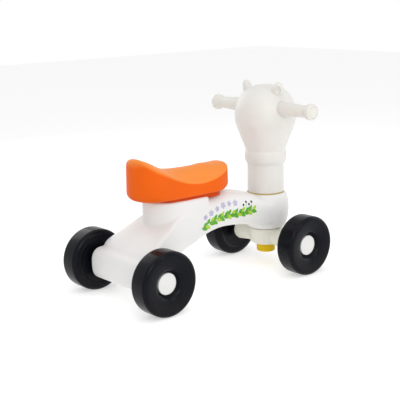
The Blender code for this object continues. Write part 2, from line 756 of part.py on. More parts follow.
def make_seat_screws(frame):
    """Two pan-head screws that hold the saddle from inside the wells."""
    head_top = DECK_HEIGHT - WELL_ROOF - SEAT_GAP
    head_foot = head_top - SCREW_HEAD_HEIGHT
    tip = SEAT_FOOT + SCREW_BITE
    outline = [(0, head_foot), (SCREW_HEAD_RADIUS * 0.7, head_foot)]
    outline += [(SCREW_HEAD_RADIUS, head_foot + SCREW_HEAD_HEIGHT * 0.45)]
    outline += [(SCREW_HEAD_RADIUS, head_top), (SCREW_RADIUS, head_top)]
    outline += [(SCREW_RADIUS, tip - 0.003), (0, tip)]
    for name, x in well_places():
        finish(f"seat_{name}", turned(outline, 12), steel("screw_steel"), frame, (x, 0, 0))


# Wheels and axles

def outward(side):
    """Turn of a piece modelled about Z so that its +Z points out on the given side."""
    return (-math.pi / 2 * side, 0, 0)


def wheel_outline():
    """Closed profile of a wheel as (radius, distance outboard of its mid plane)."""
    half = HALF_WIDTH_OF_WHEEL
    bore = AXLE_RADIUS + AXLE_PLAY
    rim = WHEEL_RADIUS - TYRE_SHOULDER
    shoulder = (TYRE_SHOULDER, TYRE_SHOULDER_WIDTH)
    cap_pocket = HUB_CAP_RADIUS + SEAT_GAP
    step_radius = rim - RIM_WIDTH
    dish_floor = CAP_FACE - 0.0016
    outline = [(bore, -half - HUB_REACH), (HUB_RADIUS, -half - HUB_REACH)]
    outline += [(HUB_RADIUS, -half + INNER_DISH_DEPTH), (step_radius, -half)]
    outline += oval_arc((rim, -half + TYRE_SHOULDER_WIDTH), shoulder, -90, 0, 2)
    outline += oval_arc((rim, half - TYRE_SHOULDER_WIDTH), shoulder, 0, 90, 3)
    outline += [(step_radius, half - RIM_STEP)]
    outline += [(DISH_FLOOR_RADIUS, dish_floor), (cap_pocket, dish_floor)]
    outline += [(cap_pocket, CAP_FLOOR), (bore, CAP_FLOOR)]
    return outline


def hub_cap_outline():
    """Cup that snaps into the wheel, its closed face outward."""
    foot = CAP_FLOOR + SEAT_GAP
    cavity = NUT_RADIUS + COVER_PLAY
    outline = [(cavity, foot), (HUB_CAP_RADIUS, foot), (HUB_CAP_RADIUS, CAP_FACE - HUB_CAP_EDGE)]
    outline += [(HUB_CAP_RADIUS - HUB_CAP_EDGE, CAP_FACE), (0, CAP_FACE + 0.0004)]
    return [(0, CAP_FACE - HUB_CAP_WALL), (cavity, CAP_FACE - HUB_CAP_WALL)] + outline


def make_wheel(name, holder, side, x_place):
    """Black wheel, its origin on the axle at the wheel's mid plane."""
    rubber = plastic("wheel_black", (0.016, 0.017, 0.019), 0.45)
    place = (x_place, WHEEL_Y * side, 0)
    bm = turned(wheel_outline(), WHEEL_SEGMENTS, bored=True, flats=True)
    wheel = finish(f"wheel_{name}", bm, rubber, holder, place, outward(side), sharp=35)
    bm = turned(hub_cap_outline(), 16)
    white = white_plastic("hub_cap_white")
    finish(f"hub_cap_{name}", bm, white, holder, place, outward(side), sharp=35)
    return wheel


def make_axle(name, holder, x_place):
    """Straight steel rod through both wheels."""
    end = WHEEL_Y + AXLE_END
    chamfer = 0.0006
    outline = [(0, -end), (AXLE_RADIUS - chamfer, -end), (AXLE_RADIUS, -end + chamfer)]
    outline += [(radius, -height) for radius, height in reversed(outline)]
    bm = turned(outline, 16)
    return finish(f"{name}_axle", bm, steel("axle_steel"), holder, (x_place, 0, 0), outward(1))


def make_axle_bush(name, side, holder, x_place):
    """Flanged bush in the end of the bore that carries the axle."""
    bore = AXLE_RADIUS + AXLE_PLAY
    flange_foot = BEARER_END_Y + SEAT_GAP
    flange_top = flange_foot + BUSH_FLANGE
    outline = [(bore, flange_foot - BUSH_LENGTH), (BUSH_RADIUS, flange_foot - BUSH_LENGTH)]
    outline += [(BUSH_RADIUS, flange_foot), (BUSH_FLANGE_RADIUS, flange_foot)]
    outline += [(BUSH_FLANGE_RADIUS, flange_top), (bore, flange_top)]
    nylon = plastic("bush_nylon", (0.72, 0.71, 0.66), 0.5)
    bm = turned(outline, 16, bored=True)
    return finish(f"axle_bush_{name}", bm, nylon, holder, (x_place, 0, 0), outward(side))


def make_axle_nut(name, side, holder, x_place):
    """Domed push-on nut that keeps the wheel on the axle, under the hub cap."""
    foot = WHEEL_Y + CAP_FLOOR + SEAT_GAP
    top = foot + NUT_HEIGHT
    pocket = WHEEL_Y + AXLE_END + SEAT_GAP
    bore = AXLE_RADIUS + SEAT_GAP
    outline = [(0, pocket), (bore, pocket), (bore, foot), (NUT_RADIUS, foot)]
    outline += [(NUT_RADIUS, foot + 0.0010), (NUT_RADIUS * 0.65, foot + 0.0016)]
    outline += [(NUT_RADIUS * 0.55, top), (0, top)]
    bm = turned(outline, 12)
    return finish(f"axle_nut_{name}", bm, steel("nut_steel"), holder, (x_place, 0, 0), outward(side))


# Steering

def make_neck_ring(frame):
    """Yellow flanged sleeve in the top of the boss; its flange shows as a thin ring."""
    foot = BOSS_TOP + SEAT_GAP
    top = foot + NECK_RING_HEIGHT
    outline = [(SLEEVE_BORE, foot - SLEEVE_LENGTH), (SLEEVE_RADIUS, foot - SLEEVE_LENGTH)]
    outline += [(SLEEVE_RADIUS, foot), (NECK_RING_RADIUS, foot), (NECK_RING_RADIUS, top)]
    outline += [(SLEEVE_BORE, top)]
    bm = turned(outline, COLUMN_SEGMENTS, bored=True)
    yellow = plastic("ring_yellow", (0.72, 0.48, 0.05), 0.4)
    return finish("neck_ring", bm, yellow, frame, (FRONT_X, 0, 0))


def make_lower_bush(frame):
    """Flanged sleeve in the foot of the boss, on which the yoke turns."""
    top = BOSS_BOTTOM + LOWER_BUSH_FLANGE / 2
    foot = top - LOWER_BUSH_FLANGE
    sleeve_top = top + SLEEVE_LENGTH
    outline = [(SLEEVE_BORE, foot), (LOWER_BUSH_FLANGE_RADIUS, foot)]
    outline += [(LOWER_BUSH_FLANGE_RADIUS, top), (SLEEVE_RADIUS, top)]
    outline += [(SLEEVE_RADIUS, sleeve_top), (SLEEVE_BORE, sleeve_top)]
    bm = turned(outline, COLUMN_SEGMENTS, bored=True)
    nylon = plastic("bush_nylon", (0.72, 0.71, 0.66), 0.5)
    return finish("lower_bush", bm, nylon, frame, (FRONT_X, 0, 0))


def make_column(steering):
    """Steel steering column; the front axle passes through its foot and locks it in the yoke."""
    foot = CAP_FOOT + END_CAP_FLOOR + SEAT_GAP
    bm = rod(COLUMN_RADIUS, foot, COLUMN_TOP, COLUMN_SEGMENTS)
    column = finish("steering_column", bm, steel("column_steel"), steering)
    bore = rod(AXLE_RADIUS + SEAT_GAP, -COLUMN_RADIUS * 2, COLUMN_RADIUS * 2, 24)
    bore = finish("column_cross_bore", bore, None, steering, (0, 0, 0), outward(1))
    combine(column, bore, "DIFFERENCE")
    screw = rod(NECK_SCREW_RADIUS + SEAT_GAP, COLUMN_RADIUS - NECK_SCREW_BITE - SEAT_GAP,
                COLUMN_RADIUS * 2, 12)
    place = (0, 0, NECK_FOOT + NECK_SCREW_HEIGHT)
    screw = finish("column_screw_seat", screw, None, steering, place, (0, math.pi / 2, 0))
    combine(column, screw, "DIFFERENCE")
    return column


def make_yoke(steering):
    """Front yoke: tapered centre with an arm out to each wheel and the steering stop's lug."""
    outline = [(0, YOKE_FOOT), (YOKE_FOOT_RADIUS - YOKE_ROUND, YOKE_FOOT)]
    outline += arc((YOKE_FOOT_RADIUS - YOKE_ROUND, YOKE_FOOT + YOKE_ROUND), YOKE_ROUND, -90, -10, 3)
    outline += [(YOKE_RADIUS - 0.0008, YOKE_TOP - 0.007), (YOKE_RADIUS, YOKE_TOP - 0.0035)]
    outline += [(YOKE_RADIUS - 0.0020, YOKE_TOP), (0, YOKE_TOP)]
    white = white_plastic("yoke_white")
    yoke = finish("front_yoke", turned(outline, 20), white, steering)
    end = BEARER_END_Y
    outline = [(0, -end)] + arc((ARM_RADIUS - ARM_EDGE, -end + ARM_EDGE), ARM_EDGE, -90, 0, 3)
    outline += arc((ARM_RADIUS - ARM_EDGE, end - ARM_EDGE), ARM_EDGE, 0, 90, 3) + [(0, end)]
    arms = finish("yoke_arms", turned(outline, 16), None, steering, (0, 0, 0), outward(1))
    rise = ARM_RADIUS + SWEEP_GAP
    foot = YOKE_TOP - 0.0010
    outline = [(0, foot), (BOSS_FOOT_RADIUS + SWEEP_GAP, foot)]
    outline += [(BOSS_RADIUS - 0.0060, BOSS_BOTTOM + 0.0062), (BOSS_RADIUS - 0.0025, rise + 0.0005)]
    outline += [(BOSS_RADIUS - 0.0025, rise + 0.01), (0, rise + 0.01)]
    sweep = finish("boss_sweep", turned(outline, 28), None, steering)
    combine(arms, sweep, "DIFFERENCE")
    combine(yoke, arms, "UNION")
    lug = curved_bar(STOP_RADIUS, STOP_WIDTH, YOKE_TOP - 0.004, BOSS_BOTTOM + STOP_HEIGHT,
                     STOP_HALF_ANGLE, 4)
    combine(yoke, finish("stop_lug", lug, None, steering), "UNION")
    bore = rod(COLUMN_RADIUS + SEAT_GAP, YOKE_FOOT - 0.01, YOKE_TOP + 0.02, COLUMN_SEGMENTS)
    combine(yoke, finish("yoke_column_bore", bore, None, steering), "DIFFERENCE")
    bore = rod(BUSH_RADIUS + SEAT_GAP, -end - 0.01, end + 0.01, 16)
    bore = finish("yoke_axle_bore", bore, None, steering, (0, 0, 0), outward(1))
    combine(yoke, bore, "DIFFERENCE")
    return yoke


def make_end_cap(steering):
    """Yellow cup on the foot of the column, under the yoke."""
    bore = COLUMN_RADIUS + SEAT_GAP
    outline = [(0, CAP_FOOT), (END_CAP_RADIUS - END_CAP_RIM - END_CAP_EDGE, CAP_FOOT)]
    outline += arc((END_CAP_RADIUS - END_CAP_RIM - END_CAP_EDGE, CAP_FOOT + END_CAP_EDGE),
                   END_CAP_EDGE, -90, 0, 2)[1:]
    outline += [(END_CAP_RADIUS, CAP_TOP - 0.002), (END_CAP_RADIUS, CAP_TOP), (bore, CAP_TOP)]
    outline += [(bore, CAP_FOOT + END_CAP_FLOOR), (0, CAP_FOOT + END_CAP_FLOOR)]
    yellow = plastic("ring_yellow", (0.72, 0.48, 0.05), 0.4)
    return finish("column_end_cap", turned(outline, COLUMN_SEGMENTS), yellow, steering)


# Head

def head_outline():
    """Profile of the neck, the rolled collar and the skull, from the foot to the crown."""
    outline = [(0, NECK_FOOT), (NECK_RADIUS - 0.0008, NECK_FOOT), (NECK_RADIUS, NECK_FOOT + 0.0012)]
    outline += [(NECK_TOP_RADIUS, COLLAR_FOOT - 0.001)]
    middle = COLLAR_FOOT + COLLAR_HEIGHT * 0.52
    for angle in range(-70, 71, 35):
        share = math.cos(math.radians(angle))
        base = NECK_TOP_RADIUS if angle < 0 else THROAT_RADIUS
        z = middle + COLLAR_HEIGHT * 0.5 * math.sin(math.radians(angle))
        outline.append((base + (COLLAR_RADIUS - base) * share, z))
    outline.append((THROAT_RADIUS, COLLAR_TOP))
    apart = math.hypot(THROAT_RADIUS, SKULL_RISE)
    lean = math.degrees(math.acos(SKULL_RADIUS / apart))
    toward = math.degrees(math.atan2(-SKULL_RISE, THROAT_RADIUS))
    outline += arc((0, SKULL_Z), SKULL_RADIUS, toward + lean, 90, 10)[:-1]
    outline.append((0, SKULL_Z + SKULL_RADIUS))
    return outline


def rounded_lump(reach, rings, segments, squareness=2.0, taper=0.0):
    """A closed egg about its middle; taper narrows it towards +Z."""
    outline = [(0, -1)]
    for ring in range(1, rings):
        across, up = superellipse(math.pi * (ring / rings - 0.5), squareness)
        outline.append((across * (1 - taper * up), up))
    outline.append((0, 1))
    bm = turned(outline, segments)
    bmesh.ops.scale(bm, vec=reach, verts=bm.verts)
    return bm


def make_head(steering):
    """Neck, collar, skull, ears and muzzle as one hollow-look moulding, with its sockets."""
    white = white_plastic("head_white")
    head = finish("head", turned(head_outline(), HEAD_SEGMENTS), white, steering, sharp=40)
    for name, side in SIDES:
        reach = (EAR_HALF_THICKNESS, EAR_HALF_WIDTH, EAR_HALF_HEIGHT)
        ear = rounded_lump(reach, 6, 10, 2.4, 0.12)
        place = (-EAR_SETBACK, EAR_SPREAD * side, SKULL_Z + EAR_RISE)
        turn = (math.radians(-EAR_SPLAY * side), 0, 0)
        combine(head, finish(f"ear_{name}_form", ear, None, steering, place, turn), "UNION")
    reach = (MUZZLE_HALF_HEIGHT, MUZZLE_HALF_WIDTH, MUZZLE_LENGTH)
    muzzle = rounded_lump(reach, 8, 16, 2.5)
    place = (MUZZLE_REACH - MUZZLE_LENGTH, 0, SKULL_Z - MUZZLE_DROP)
    muzzle = finish("muzzle_form", muzzle, None, steering, place, (0, math.pi / 2, 0))
    combine(head, muzzle, "UNION")
    cut_head(head, steering)
    return head


def handle_root():
    """Distance from the middle plane to the handle's inner end."""
    drop = math.hypot(HANDLE_SETBACK, HANDLE_RISE)
    return math.sqrt(SKULL_RADIUS**2 - drop**2) - HANDLE_SINK


def eye_placing(side):
    """Matrix of an eye: its +Z leaves the skull along the line of sight."""
    turn = Matrix.Rotation(math.radians(EYE_SPREAD) * side, 4, "Z")
    lift = Matrix.Rotation(math.radians(90 - EYE_LIFT), 4, "Y")
    centre = Matrix.Translation((0, 0, SKULL_Z))
    return centre @ turn @ lift @ Matrix.Translation((0, 0, SKULL_RADIUS))


def cut_head(head, steering):
    """Column bore, handle sockets, the rod's hole, eye sockets and the neck screw's hole."""
    bore = rod(COLUMN_RADIUS + SEAT_GAP, NECK_FOOT - 0.01, COLUMN_TOP + NECK_BORE_EXTRA,
               COLUMN_SEGMENTS)
    combine(head, finish("neck_bore", bore, None, steering), "DIFFERENCE")
    place = (-HANDLE_SETBACK, 0, HANDLE_Z)
    inner = handle_root() - SEAT_GAP
    for name, side in SIDES:
        socket = rod(HANDLE_ROOT_RADIUS + SEAT_GAP, inner, SKULL_RADIUS + 0.02, HANDLE_SEGMENTS)
        socket = finish(f"handle_{name}_socket", socket, None, steering, place, outward(side))
        combine(head, socket, "DIFFERENCE")
        outline = [(0, -EYE_ROOT - SEAT_GAP), (EYE_RADIUS + SEAT_GAP, -EYE_ROOT - SEAT_GAP)]
        outline += [(EYE_RADIUS + SEAT_GAP, 0.01), (0, 0.01)]
        socket = turned(outline, 16)
        bmesh.ops.transform(socket, matrix=eye_placing(side), verts=socket.verts)
        combine(head, finish(f"eye_{name}_socket", socket, None, steering), "DIFFERENCE")
    hole = rod(ROD_RADIUS + SEAT_GAP, -inner - 0.002, inner + 0.002, 20)
    combine(head, finish("rod_hole", hole, None, steering, place, outward(1)), "DIFFERENCE")
    hole_start = COLUMN_RADIUS * 0.8
    outline = [(0, hole_start), (NECK_SCREW_RADIUS + SEAT_GAP, hole_start)]
    shelf = NECK_RADIUS - NECK_SCREW_SINK - NECK_SCREW_HEAD_HEIGHT - SEAT_GAP
    outline += [(NECK_SCREW_RADIUS + SEAT_GAP, shelf), (NECK_SCREW_HEAD_RADIUS + SEAT_GAP, shelf)]
    outline += [(NECK_SCREW_HEAD_RADIUS + SEAT_GAP, NECK_RADIUS + 0.01), (0, NECK_RADIUS + 0.01)]
    place = (0, 0, NECK_FOOT + NECK_SCREW_HEIGHT)
    hole = finish("neck_screw_hole", turned(outline, 16), None, steering, place, (0, math.pi / 2, 0))
    combine(head, hole, "DIFFERENCE")


def make_neck_screw(steering):
    """Screw through the front of the neck into the column."""
    top = NECK_RADIUS - NECK_SCREW_SINK
    foot = top - NECK_SCREW_HEAD_HEIGHT
    tip = COLUMN_RADIUS - NECK_SCREW_BITE
    outline = [(0, tip), (NECK_SCREW_RADIUS, tip), (NECK_SCREW_RADIUS, foot)]
    outline += [(NECK_SCREW_HEAD_RADIUS, foot), (NECK_SCREW_HEAD_RADIUS, top - 0.001)]
    outline += [(NECK_SCREW_HEAD_RADIUS * 0.75, top), (0, top)]
    place = (0, 0, NECK_FOOT + NECK_SCREW_HEIGHT)
    bm = turned(outline, 14)
    return finish("neck_screw", bm, steel("screw_steel"), steering, place, (0, math.pi / 2, 0))


def make_eye(name, side, steering):
    """Domed black eye with a root in the skull."""
    outline = [(0, -EYE_ROOT), (EYE_RADIUS, -EYE_ROOT), (EYE_RADIUS, 0.0004)]
    outline += oval_arc((0, 0.0004), (EYE_RADIUS, EYE_BULGE), 20, 90, 4)[:-1]
    outline.append((0, EYE_BULGE + 0.0004))
    bm = turned(outline, 16)
    bmesh.ops.transform(bm, matrix=eye_placing(side), verts=bm.verts)
    black = plastic("eye_black", (0.012, 0.012, 0.014), 0.15)
    return finish(f"eye_{name}", bm, black, steering)


# Handles

def handle_outline():
    """Closed profile of a handle along its axis, from its root in the head to its knob."""
    end = HANDLE_HALF_SPAN
    knob_start = end - KNOB_LENGTH
    bore = ROD_RADIUS + SEAT_GAP
    pocket = PLUG_RADIUS + SEAT_GAP
    floor = end - PLUG_DEPTH - SEAT_GAP
    rod_end = end - ROD_STOP + 0.002
    outline = [(bore, handle_root()), (HANDLE_ROOT_RADIUS, handle_root())]
    outline += [(HANDLE_ROOT_RADIUS, SKULL_RADIUS), (HANDLE_TIP_RADIUS, knob_start)]
    flare = guide(
        (knob_start, HANDLE_TIP_RADIUS), (knob_start + KNOB_LENGTH * 0.22, KNOB_RADIUS - 0.003),
        (knob_start + KNOB_LENGTH * 0.45, KNOB_RADIUS - 0.0006), (end - KNOB_EDGE, KNOB_RADIUS),
    )
    for step in range(1, 4):
        place = knob_start + (end - KNOB_EDGE - knob_start) * step / 3
        outline.append((flare(place), place))
    rim = KNOB_RADIUS - KNOB_EDGE
    outline += arc((rim, end - KNOB_EDGE), KNOB_EDGE, 0, 90, 2)[1:]
    outline += [(pocket, end), (pocket, floor), (0, floor)]
    return [(0, rod_end), (bore, rod_end)] + outline


def make_handle(name, side, steering):
    """Tapered handle with a knob at its end, plugged into the head."""
    white = white_plastic("handle_white")
    place = (-HANDLE_SETBACK, 0, HANDLE_Z)
    bm = turned(handle_outline(), HANDLE_SEGMENTS)
    finish(f"handle_{name}", bm, white, steering, place, outward(side), sharp=35)
    end = HANDLE_HALF_SPAN
    outline = [(0, end - PLUG_DEPTH), (PLUG_RADIUS, end - PLUG_DEPTH), (PLUG_RADIUS, end - 0.0006)]
    outline += [(PLUG_RADIUS - 0.0006, end), (0, end)]
    finish(f"handle_plug_{name}", turned(outline, 16), white, steering, place, outward(side))


def make_handle_rod(steering):
    """Steel rod through the head that joins the two handles."""
    end = HANDLE_HALF_SPAN - ROD_STOP
    bm = rod(ROD_RADIUS, -end, end, 20)
    place = (-HANDLE_SETBACK, 0, HANDLE_Z)
    return finish("handle_rod", bm, steel("rod_steel"), steering, place, outward(1))


def build():
    clear_scene()
    frame = empty("toy_frame", (MIDDLE_X, 0, WHEEL_RADIUS))
    steering = empty("steering_axis", (FRONT_X, 0, 0), frame)
    make_body(frame)
    make_seat(frame)
    make_seat_screws(frame)
    make_neck_ring(frame)
    make_lower_bush(frame)
    make_column(steering)
    make_yoke(steering)
    make_end_cap(steering)
    make_head(steering)
    make_neck_screw(steering)
    make_handle_rod(steering)
    for name, side in SIDES:
        make_eye(name, side, steering)
        make_handle(name, side, steering)
    for end, holder, x_place in (("rear", frame, REAR_X), ("front", steering, 0)):
        make_axle(end, holder, x_place)
        for name, side in SIDES:
            make_wheel(f"{end}_{name}", holder, side, x_place)
            make_axle_bush(f"{end}_{name}", side, holder, x_place)
            make_axle_nut(f"{end}_{name}", side, holder, x_place)


build()
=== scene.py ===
"""Ride-on sheep: the finished look of the toy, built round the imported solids."""

import math

import bmesh
import bpy
import numpy as np
from mathutils import Matrix, Vector
from mathutils.bvhtree import BVHTree


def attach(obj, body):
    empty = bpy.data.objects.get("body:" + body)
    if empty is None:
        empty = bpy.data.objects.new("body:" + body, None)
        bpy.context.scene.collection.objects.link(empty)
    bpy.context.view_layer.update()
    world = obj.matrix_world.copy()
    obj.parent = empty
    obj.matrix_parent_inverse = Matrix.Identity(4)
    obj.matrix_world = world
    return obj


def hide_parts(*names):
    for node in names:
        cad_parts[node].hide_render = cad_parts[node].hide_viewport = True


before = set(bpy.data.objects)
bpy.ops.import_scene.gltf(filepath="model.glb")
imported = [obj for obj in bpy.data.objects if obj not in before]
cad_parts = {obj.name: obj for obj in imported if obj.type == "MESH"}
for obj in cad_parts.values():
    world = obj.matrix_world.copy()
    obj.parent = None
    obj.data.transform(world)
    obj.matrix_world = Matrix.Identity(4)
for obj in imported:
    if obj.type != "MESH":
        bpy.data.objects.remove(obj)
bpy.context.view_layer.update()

# Body
# One hollow blow-moulding in ivory-white polyethylene: haunched back, cross housing for the rear
# axle, pedestal under the saddle and barrel boss at the front. The two mould halves meet along
# the middle in a fine parting line, and every junction is softly rounded.
REAR_X = -0.209                 # rear axle
FRONT_X = 0.195                 # steering axis, front axle
AXLE_Z = 0.0675
DECK_Z = 0.2070                 # top of the pedestal
BOSS_TOP_Z = 0.1722
BOSS_FOOT_Z = 0.0890
BUSH_TOP_Z = 0.0817             # top of the flange of the lower bush
BODY_VOXEL = 0.0016
DECK_DIP = 0.0042               # the pedestal's top is this much lower beside the saddle's base
SHARP_ANGLE = 40                # faces that meet at more degrees keep their edge
FILLET_START = 0.0002           # filling of a corner from which it counts in full
TAIL_X = REAR_X - 0.013         # rear end of the body's skin
NOSE_X = FRONT_X - 0.012        # its front end, inside the boss
PEDESTAL_REAR_X = REAR_X + 0.0560
PEDESTAL_FRONT_X = REAR_X + 0.1950
WELL_X = [REAR_X + 0.13125 + shift for shift in (-0.035, 0.035)]
WELL_RADIUS = 0.0085
SCREW_HOLE = 0.0027
AXLE_HOLE = 0.00716
SLEEVE_HOLE = 0.01644           # for the sleeves of the column
BEARER_END_Y = 0.0899           # where the body and the yoke end beside a wheel
STOP_RADIUS = 0.0290            # of the steering stop's slot, and of the lug in it


def guide(*points):
    """A smooth curve through (place, value) points, without overshoot between them."""
    places = [p for p, _ in points]
    values = [v for _, v in points]
    steps = [b - a for a, b in zip(places, places[1:])]
    slopes = [(b - a) / step for a, b, step in zip(values, values[1:], steps)]
    tangents = [slopes[0]]
    for before, after in zip(slopes, slopes[1:]):
        level = before * after <= 0
        tangents.append(0.0 if level else 2 * before * after / (before + after))
    tangents.append(slopes[-1])

    def value(place):
        if place <= places[0]:
            return values[0]
        if place >= places[-1]:
            return values[-1]
        k = max(i for i, p in enumerate(places) if p <= place)
        t = (place - places[k]) / steps[k]
        return (
            values[k] * (2 * t**3 - 3 * t**2 + 1)
            + steps[k] * tangents[k] * (t**3 - 2 * t**2 + t)
            + values[k + 1] * (3 * t**2 - 2 * t**3)
            + steps[k] * tangents[k + 1] * (t**3 - t**2)
        )

    return value


def superellipse(angle, squareness):
    """Unit superellipse: round at 2, squarer above."""
    c, s = math.cos(angle), math.sin(angle)
    power = 2 / squareness
    return math.copysign(abs(c) ** power, c), math.copysign(abs(s) ** power, s)


def arc(centre, reach, start, end, steps):
    """Points of an elliptical arc in a profile's plane, angles in degrees, ends included."""
    points = []
    for step in range(steps + 1):
        angle = math.radians(start + (end - start) * step / steps)
        points.append((centre[0] + reach[0] * math.cos(angle),
                       centre[1] + reach[1] * math.sin(angle)))
    return points


def raised(base, *points):
    """Points of a profile, their heights measured from a base."""
    return [(radius, base + height) for radius, height in points]


def bridge(bm, lower, upper):
    """Faces between two rings of points; a ring of one point is a pole."""
    count = max(len(lower), len(upper))
    for k in range(count):
        n = (k + 1) % count
        if len(lower) == 1:
            bm.faces.new((lower[0], upper[k], upper[n]))
        elif len(upper) == 1:
            bm.faces.new((lower[k], lower[n], upper[0]))
        else:
            bm.faces.new((lower[k], lower[n], upper[n], upper[k]))


def lofted(sections):
    """A skin through closed sections of equal count, its two ends filled."""
    bm = bmesh.new()
    rings = [[bm.verts.new(point) for point in section] for section in sections]
    for lower, upper in zip(rings, rings[1:]):
        bridge(bm, lower, upper)
    bm.faces.new(rings[0])
    bm.faces.new(rings[-1])
    return bm


def turned(outline, segments, bored=False):
    """A skin turned about Z from (radius, height) points; a bored outline is a closed loop."""
    bm = bmesh.new()
    rings = []
    for radius, height in outline:
        if radius < 1e-7:
            rings.append([bm.verts.new((0, 0, height))])
            continue
        ring = []
        for k in range(segments):
            angle = 2 * math.pi * k / segments
            ring.append(bm.verts.new((radius * math.cos(angle), radius * math.sin(angle), height)))
        rings.append(ring)
    for lower, upper in zip(rings, rings[1:]):
        bridge(bm, lower, upper)
    if bored:
        bridge(bm, rings[-1], rings[0])
    return bm


def rod(radius, foot, top, segments=64):
    """A plain round bar along Z."""
    return turned([(0, foot), (radius, foot), (radius, top), (0, top)], segments)


def show(name, data):
    """A new object in the scene."""
    thing = bpy.data.objects.new(name, data)
    bpy.context.scene.collection.objects.link(thing)
    return thing


def piece(name, bm, place=Matrix.Identity(4), sharp=SHARP_ANGLE):
    """The mesh as an object in the toy's own frame, smooth-shaded up to the sharp angle."""
    bmesh.ops.transform(bm, matrix=place, verts=bm.verts)
    bmesh.ops.recalc_face_normals(bm, faces=bm.faces)
    mesh = bpy.data.meshes.new(name)
    bm.to_mesh(mesh)
    bm.free()
    mesh.shade_smooth()
    mesh.set_sharp_from_angle(angle=math.radians(sharp))
    return show(name, mesh)


def settle(thing):
    """Turn an object's modifiers into its mesh."""
    seen = thing.evaluated_get(bpy.context.evaluated_depsgraph_get())
    mesh = bpy.data.meshes.new_from_object(seen)
    old = thing.data
    thing.modifiers.clear()
    thing.data = mesh
    bpy.data.meshes.remove(old)
    mesh.name = thing.name
    mesh.shade_smooth()
    mesh.set_sharp_from_angle(angle=math.radians(SHARP_ANGLE))


def rows(thing, key):
    """The places ("co") or normals ("normal") of a mesh's vertices, one row each."""
    values = np.empty(len(thing.data.vertices) * 3)
    thing.data.vertices.foreach_get(key, values)
    return values.reshape(-1, 3)


def soften(thing, rounds):
    """Relax a skin, and turn it into the object's mesh."""
    relax = thing.modifiers.new("relax", "SMOOTH")
    relax.factor = 0.5
    relax.iterations = rounds
    settle(thing)


def melt_together(thing, others, voxel, fillet, round_over=4):
    """Join overlapping skins into one wall: wide fillets in the corners, tight outer edges."""
    bm = bmesh.new()
    for part in [thing] + others:
        bm.from_mesh(part.data)
    bm.to_mesh(thing.data)
    bm.free()
    for part in others:
        bpy.data.objects.remove(part)
    remesh = thing.modifiers.new("wall", "REMESH")
    remesh.mode = "VOXEL"
    remesh.voxel_size = voxel
    soften(thing, round_over)
    tight, normals = rows(thing, "co"), rows(thing, "normal")
    soften(thing, fillet)
    move = rows(thing, "co") - tight
    filled = np.clip((move * normals).sum(axis=1) / FILLET_START, 0, 1)[:, None]
    thing.data.vertices.foreach_set("co", (tight + move * filled).ravel())
    soften(thing, 3)


def bore(thing, cutters):
    """Cut the holes of the cutters out of a piece."""
    for cutter in cutters:
        cut = thing.modifiers.new(f"cut_{cutter.name}", "BOOLEAN")
        cut.operation = "DIFFERENCE"
        cut.solver = "EXACT"
        cut.object = cutter
    settle(thing)
    for cutter in cutters:
        bpy.data.objects.remove(cutter)


def upright(x=FRONT_X, z=0.0):
    """Placing of a piece turned about an upright line, by default the steering axis."""
    return Matrix.Translation((x, 0, z))


def crosswise(x, z, side=1, y=0.0):
    """Placing of a piece turned about a line across the toy; its +Z points out on that side."""
    return Matrix.Translation((x, y, z)) @ Matrix.Rotation(-math.pi / 2 * side, 4, "X")


def feed(socket, value):
    """Give a socket a value, or link it to an output, or to a node's first output."""
    if isinstance(value, bpy.types.Node):
        value = next(output for output in value.outputs if output.enabled)
    if isinstance(value, bpy.types.NodeSocket):
        socket.id_data.links.new(value, socket)
    else:
        socket.default_value = value


def wire(made, *values, **settings):
    """Set a node's properties and sockets by name, and its first sockets in their order."""
    for key, value in settings.items():
        socket = made.inputs.get(key.replace("_", " "))
        if socket is None:
            setattr(made, key, value)
        else:
            feed(socket, value)
    for socket, value in zip(made.inputs, values):
        feed(socket, value)


def node(tree, kind, *values, **settings):
    """A new shader node, set by wire; the nodes of a tree lie in rows of eight as they are made."""
    row, column = divmod(len(tree.nodes), 8)
    made = tree.nodes.new(f"ShaderNode{kind}")
    made.location = (200 * column, -320 * row)
    wire(made, *values, **settings)
    return made


def ramp(tree, driver, *stops):
    """A colour ramp over a driver, with two (position, colour) stops."""
    made = node(tree, "ValToRGB", driver)
    for element, (position, colour) in zip(made.color_ramp.elements, stops):
        element.position = position
        element.color = (*colour, 1.0)
    return made


def tinted(tree, share, base, tint, blend="MIX"):
    """A colour taken towards a tint by a share."""
    return node(tree, "Mix", data_type="RGBA", blend_type=blend, Factor=share, A=base, B=(*tint, 1))


def new_material(name):
    """A material with its node tree and its shader."""
    material = bpy.data.materials.new(name)
    material.use_nodes = True
    return material, material.node_tree, material.node_tree.nodes["Principled BSDF"]


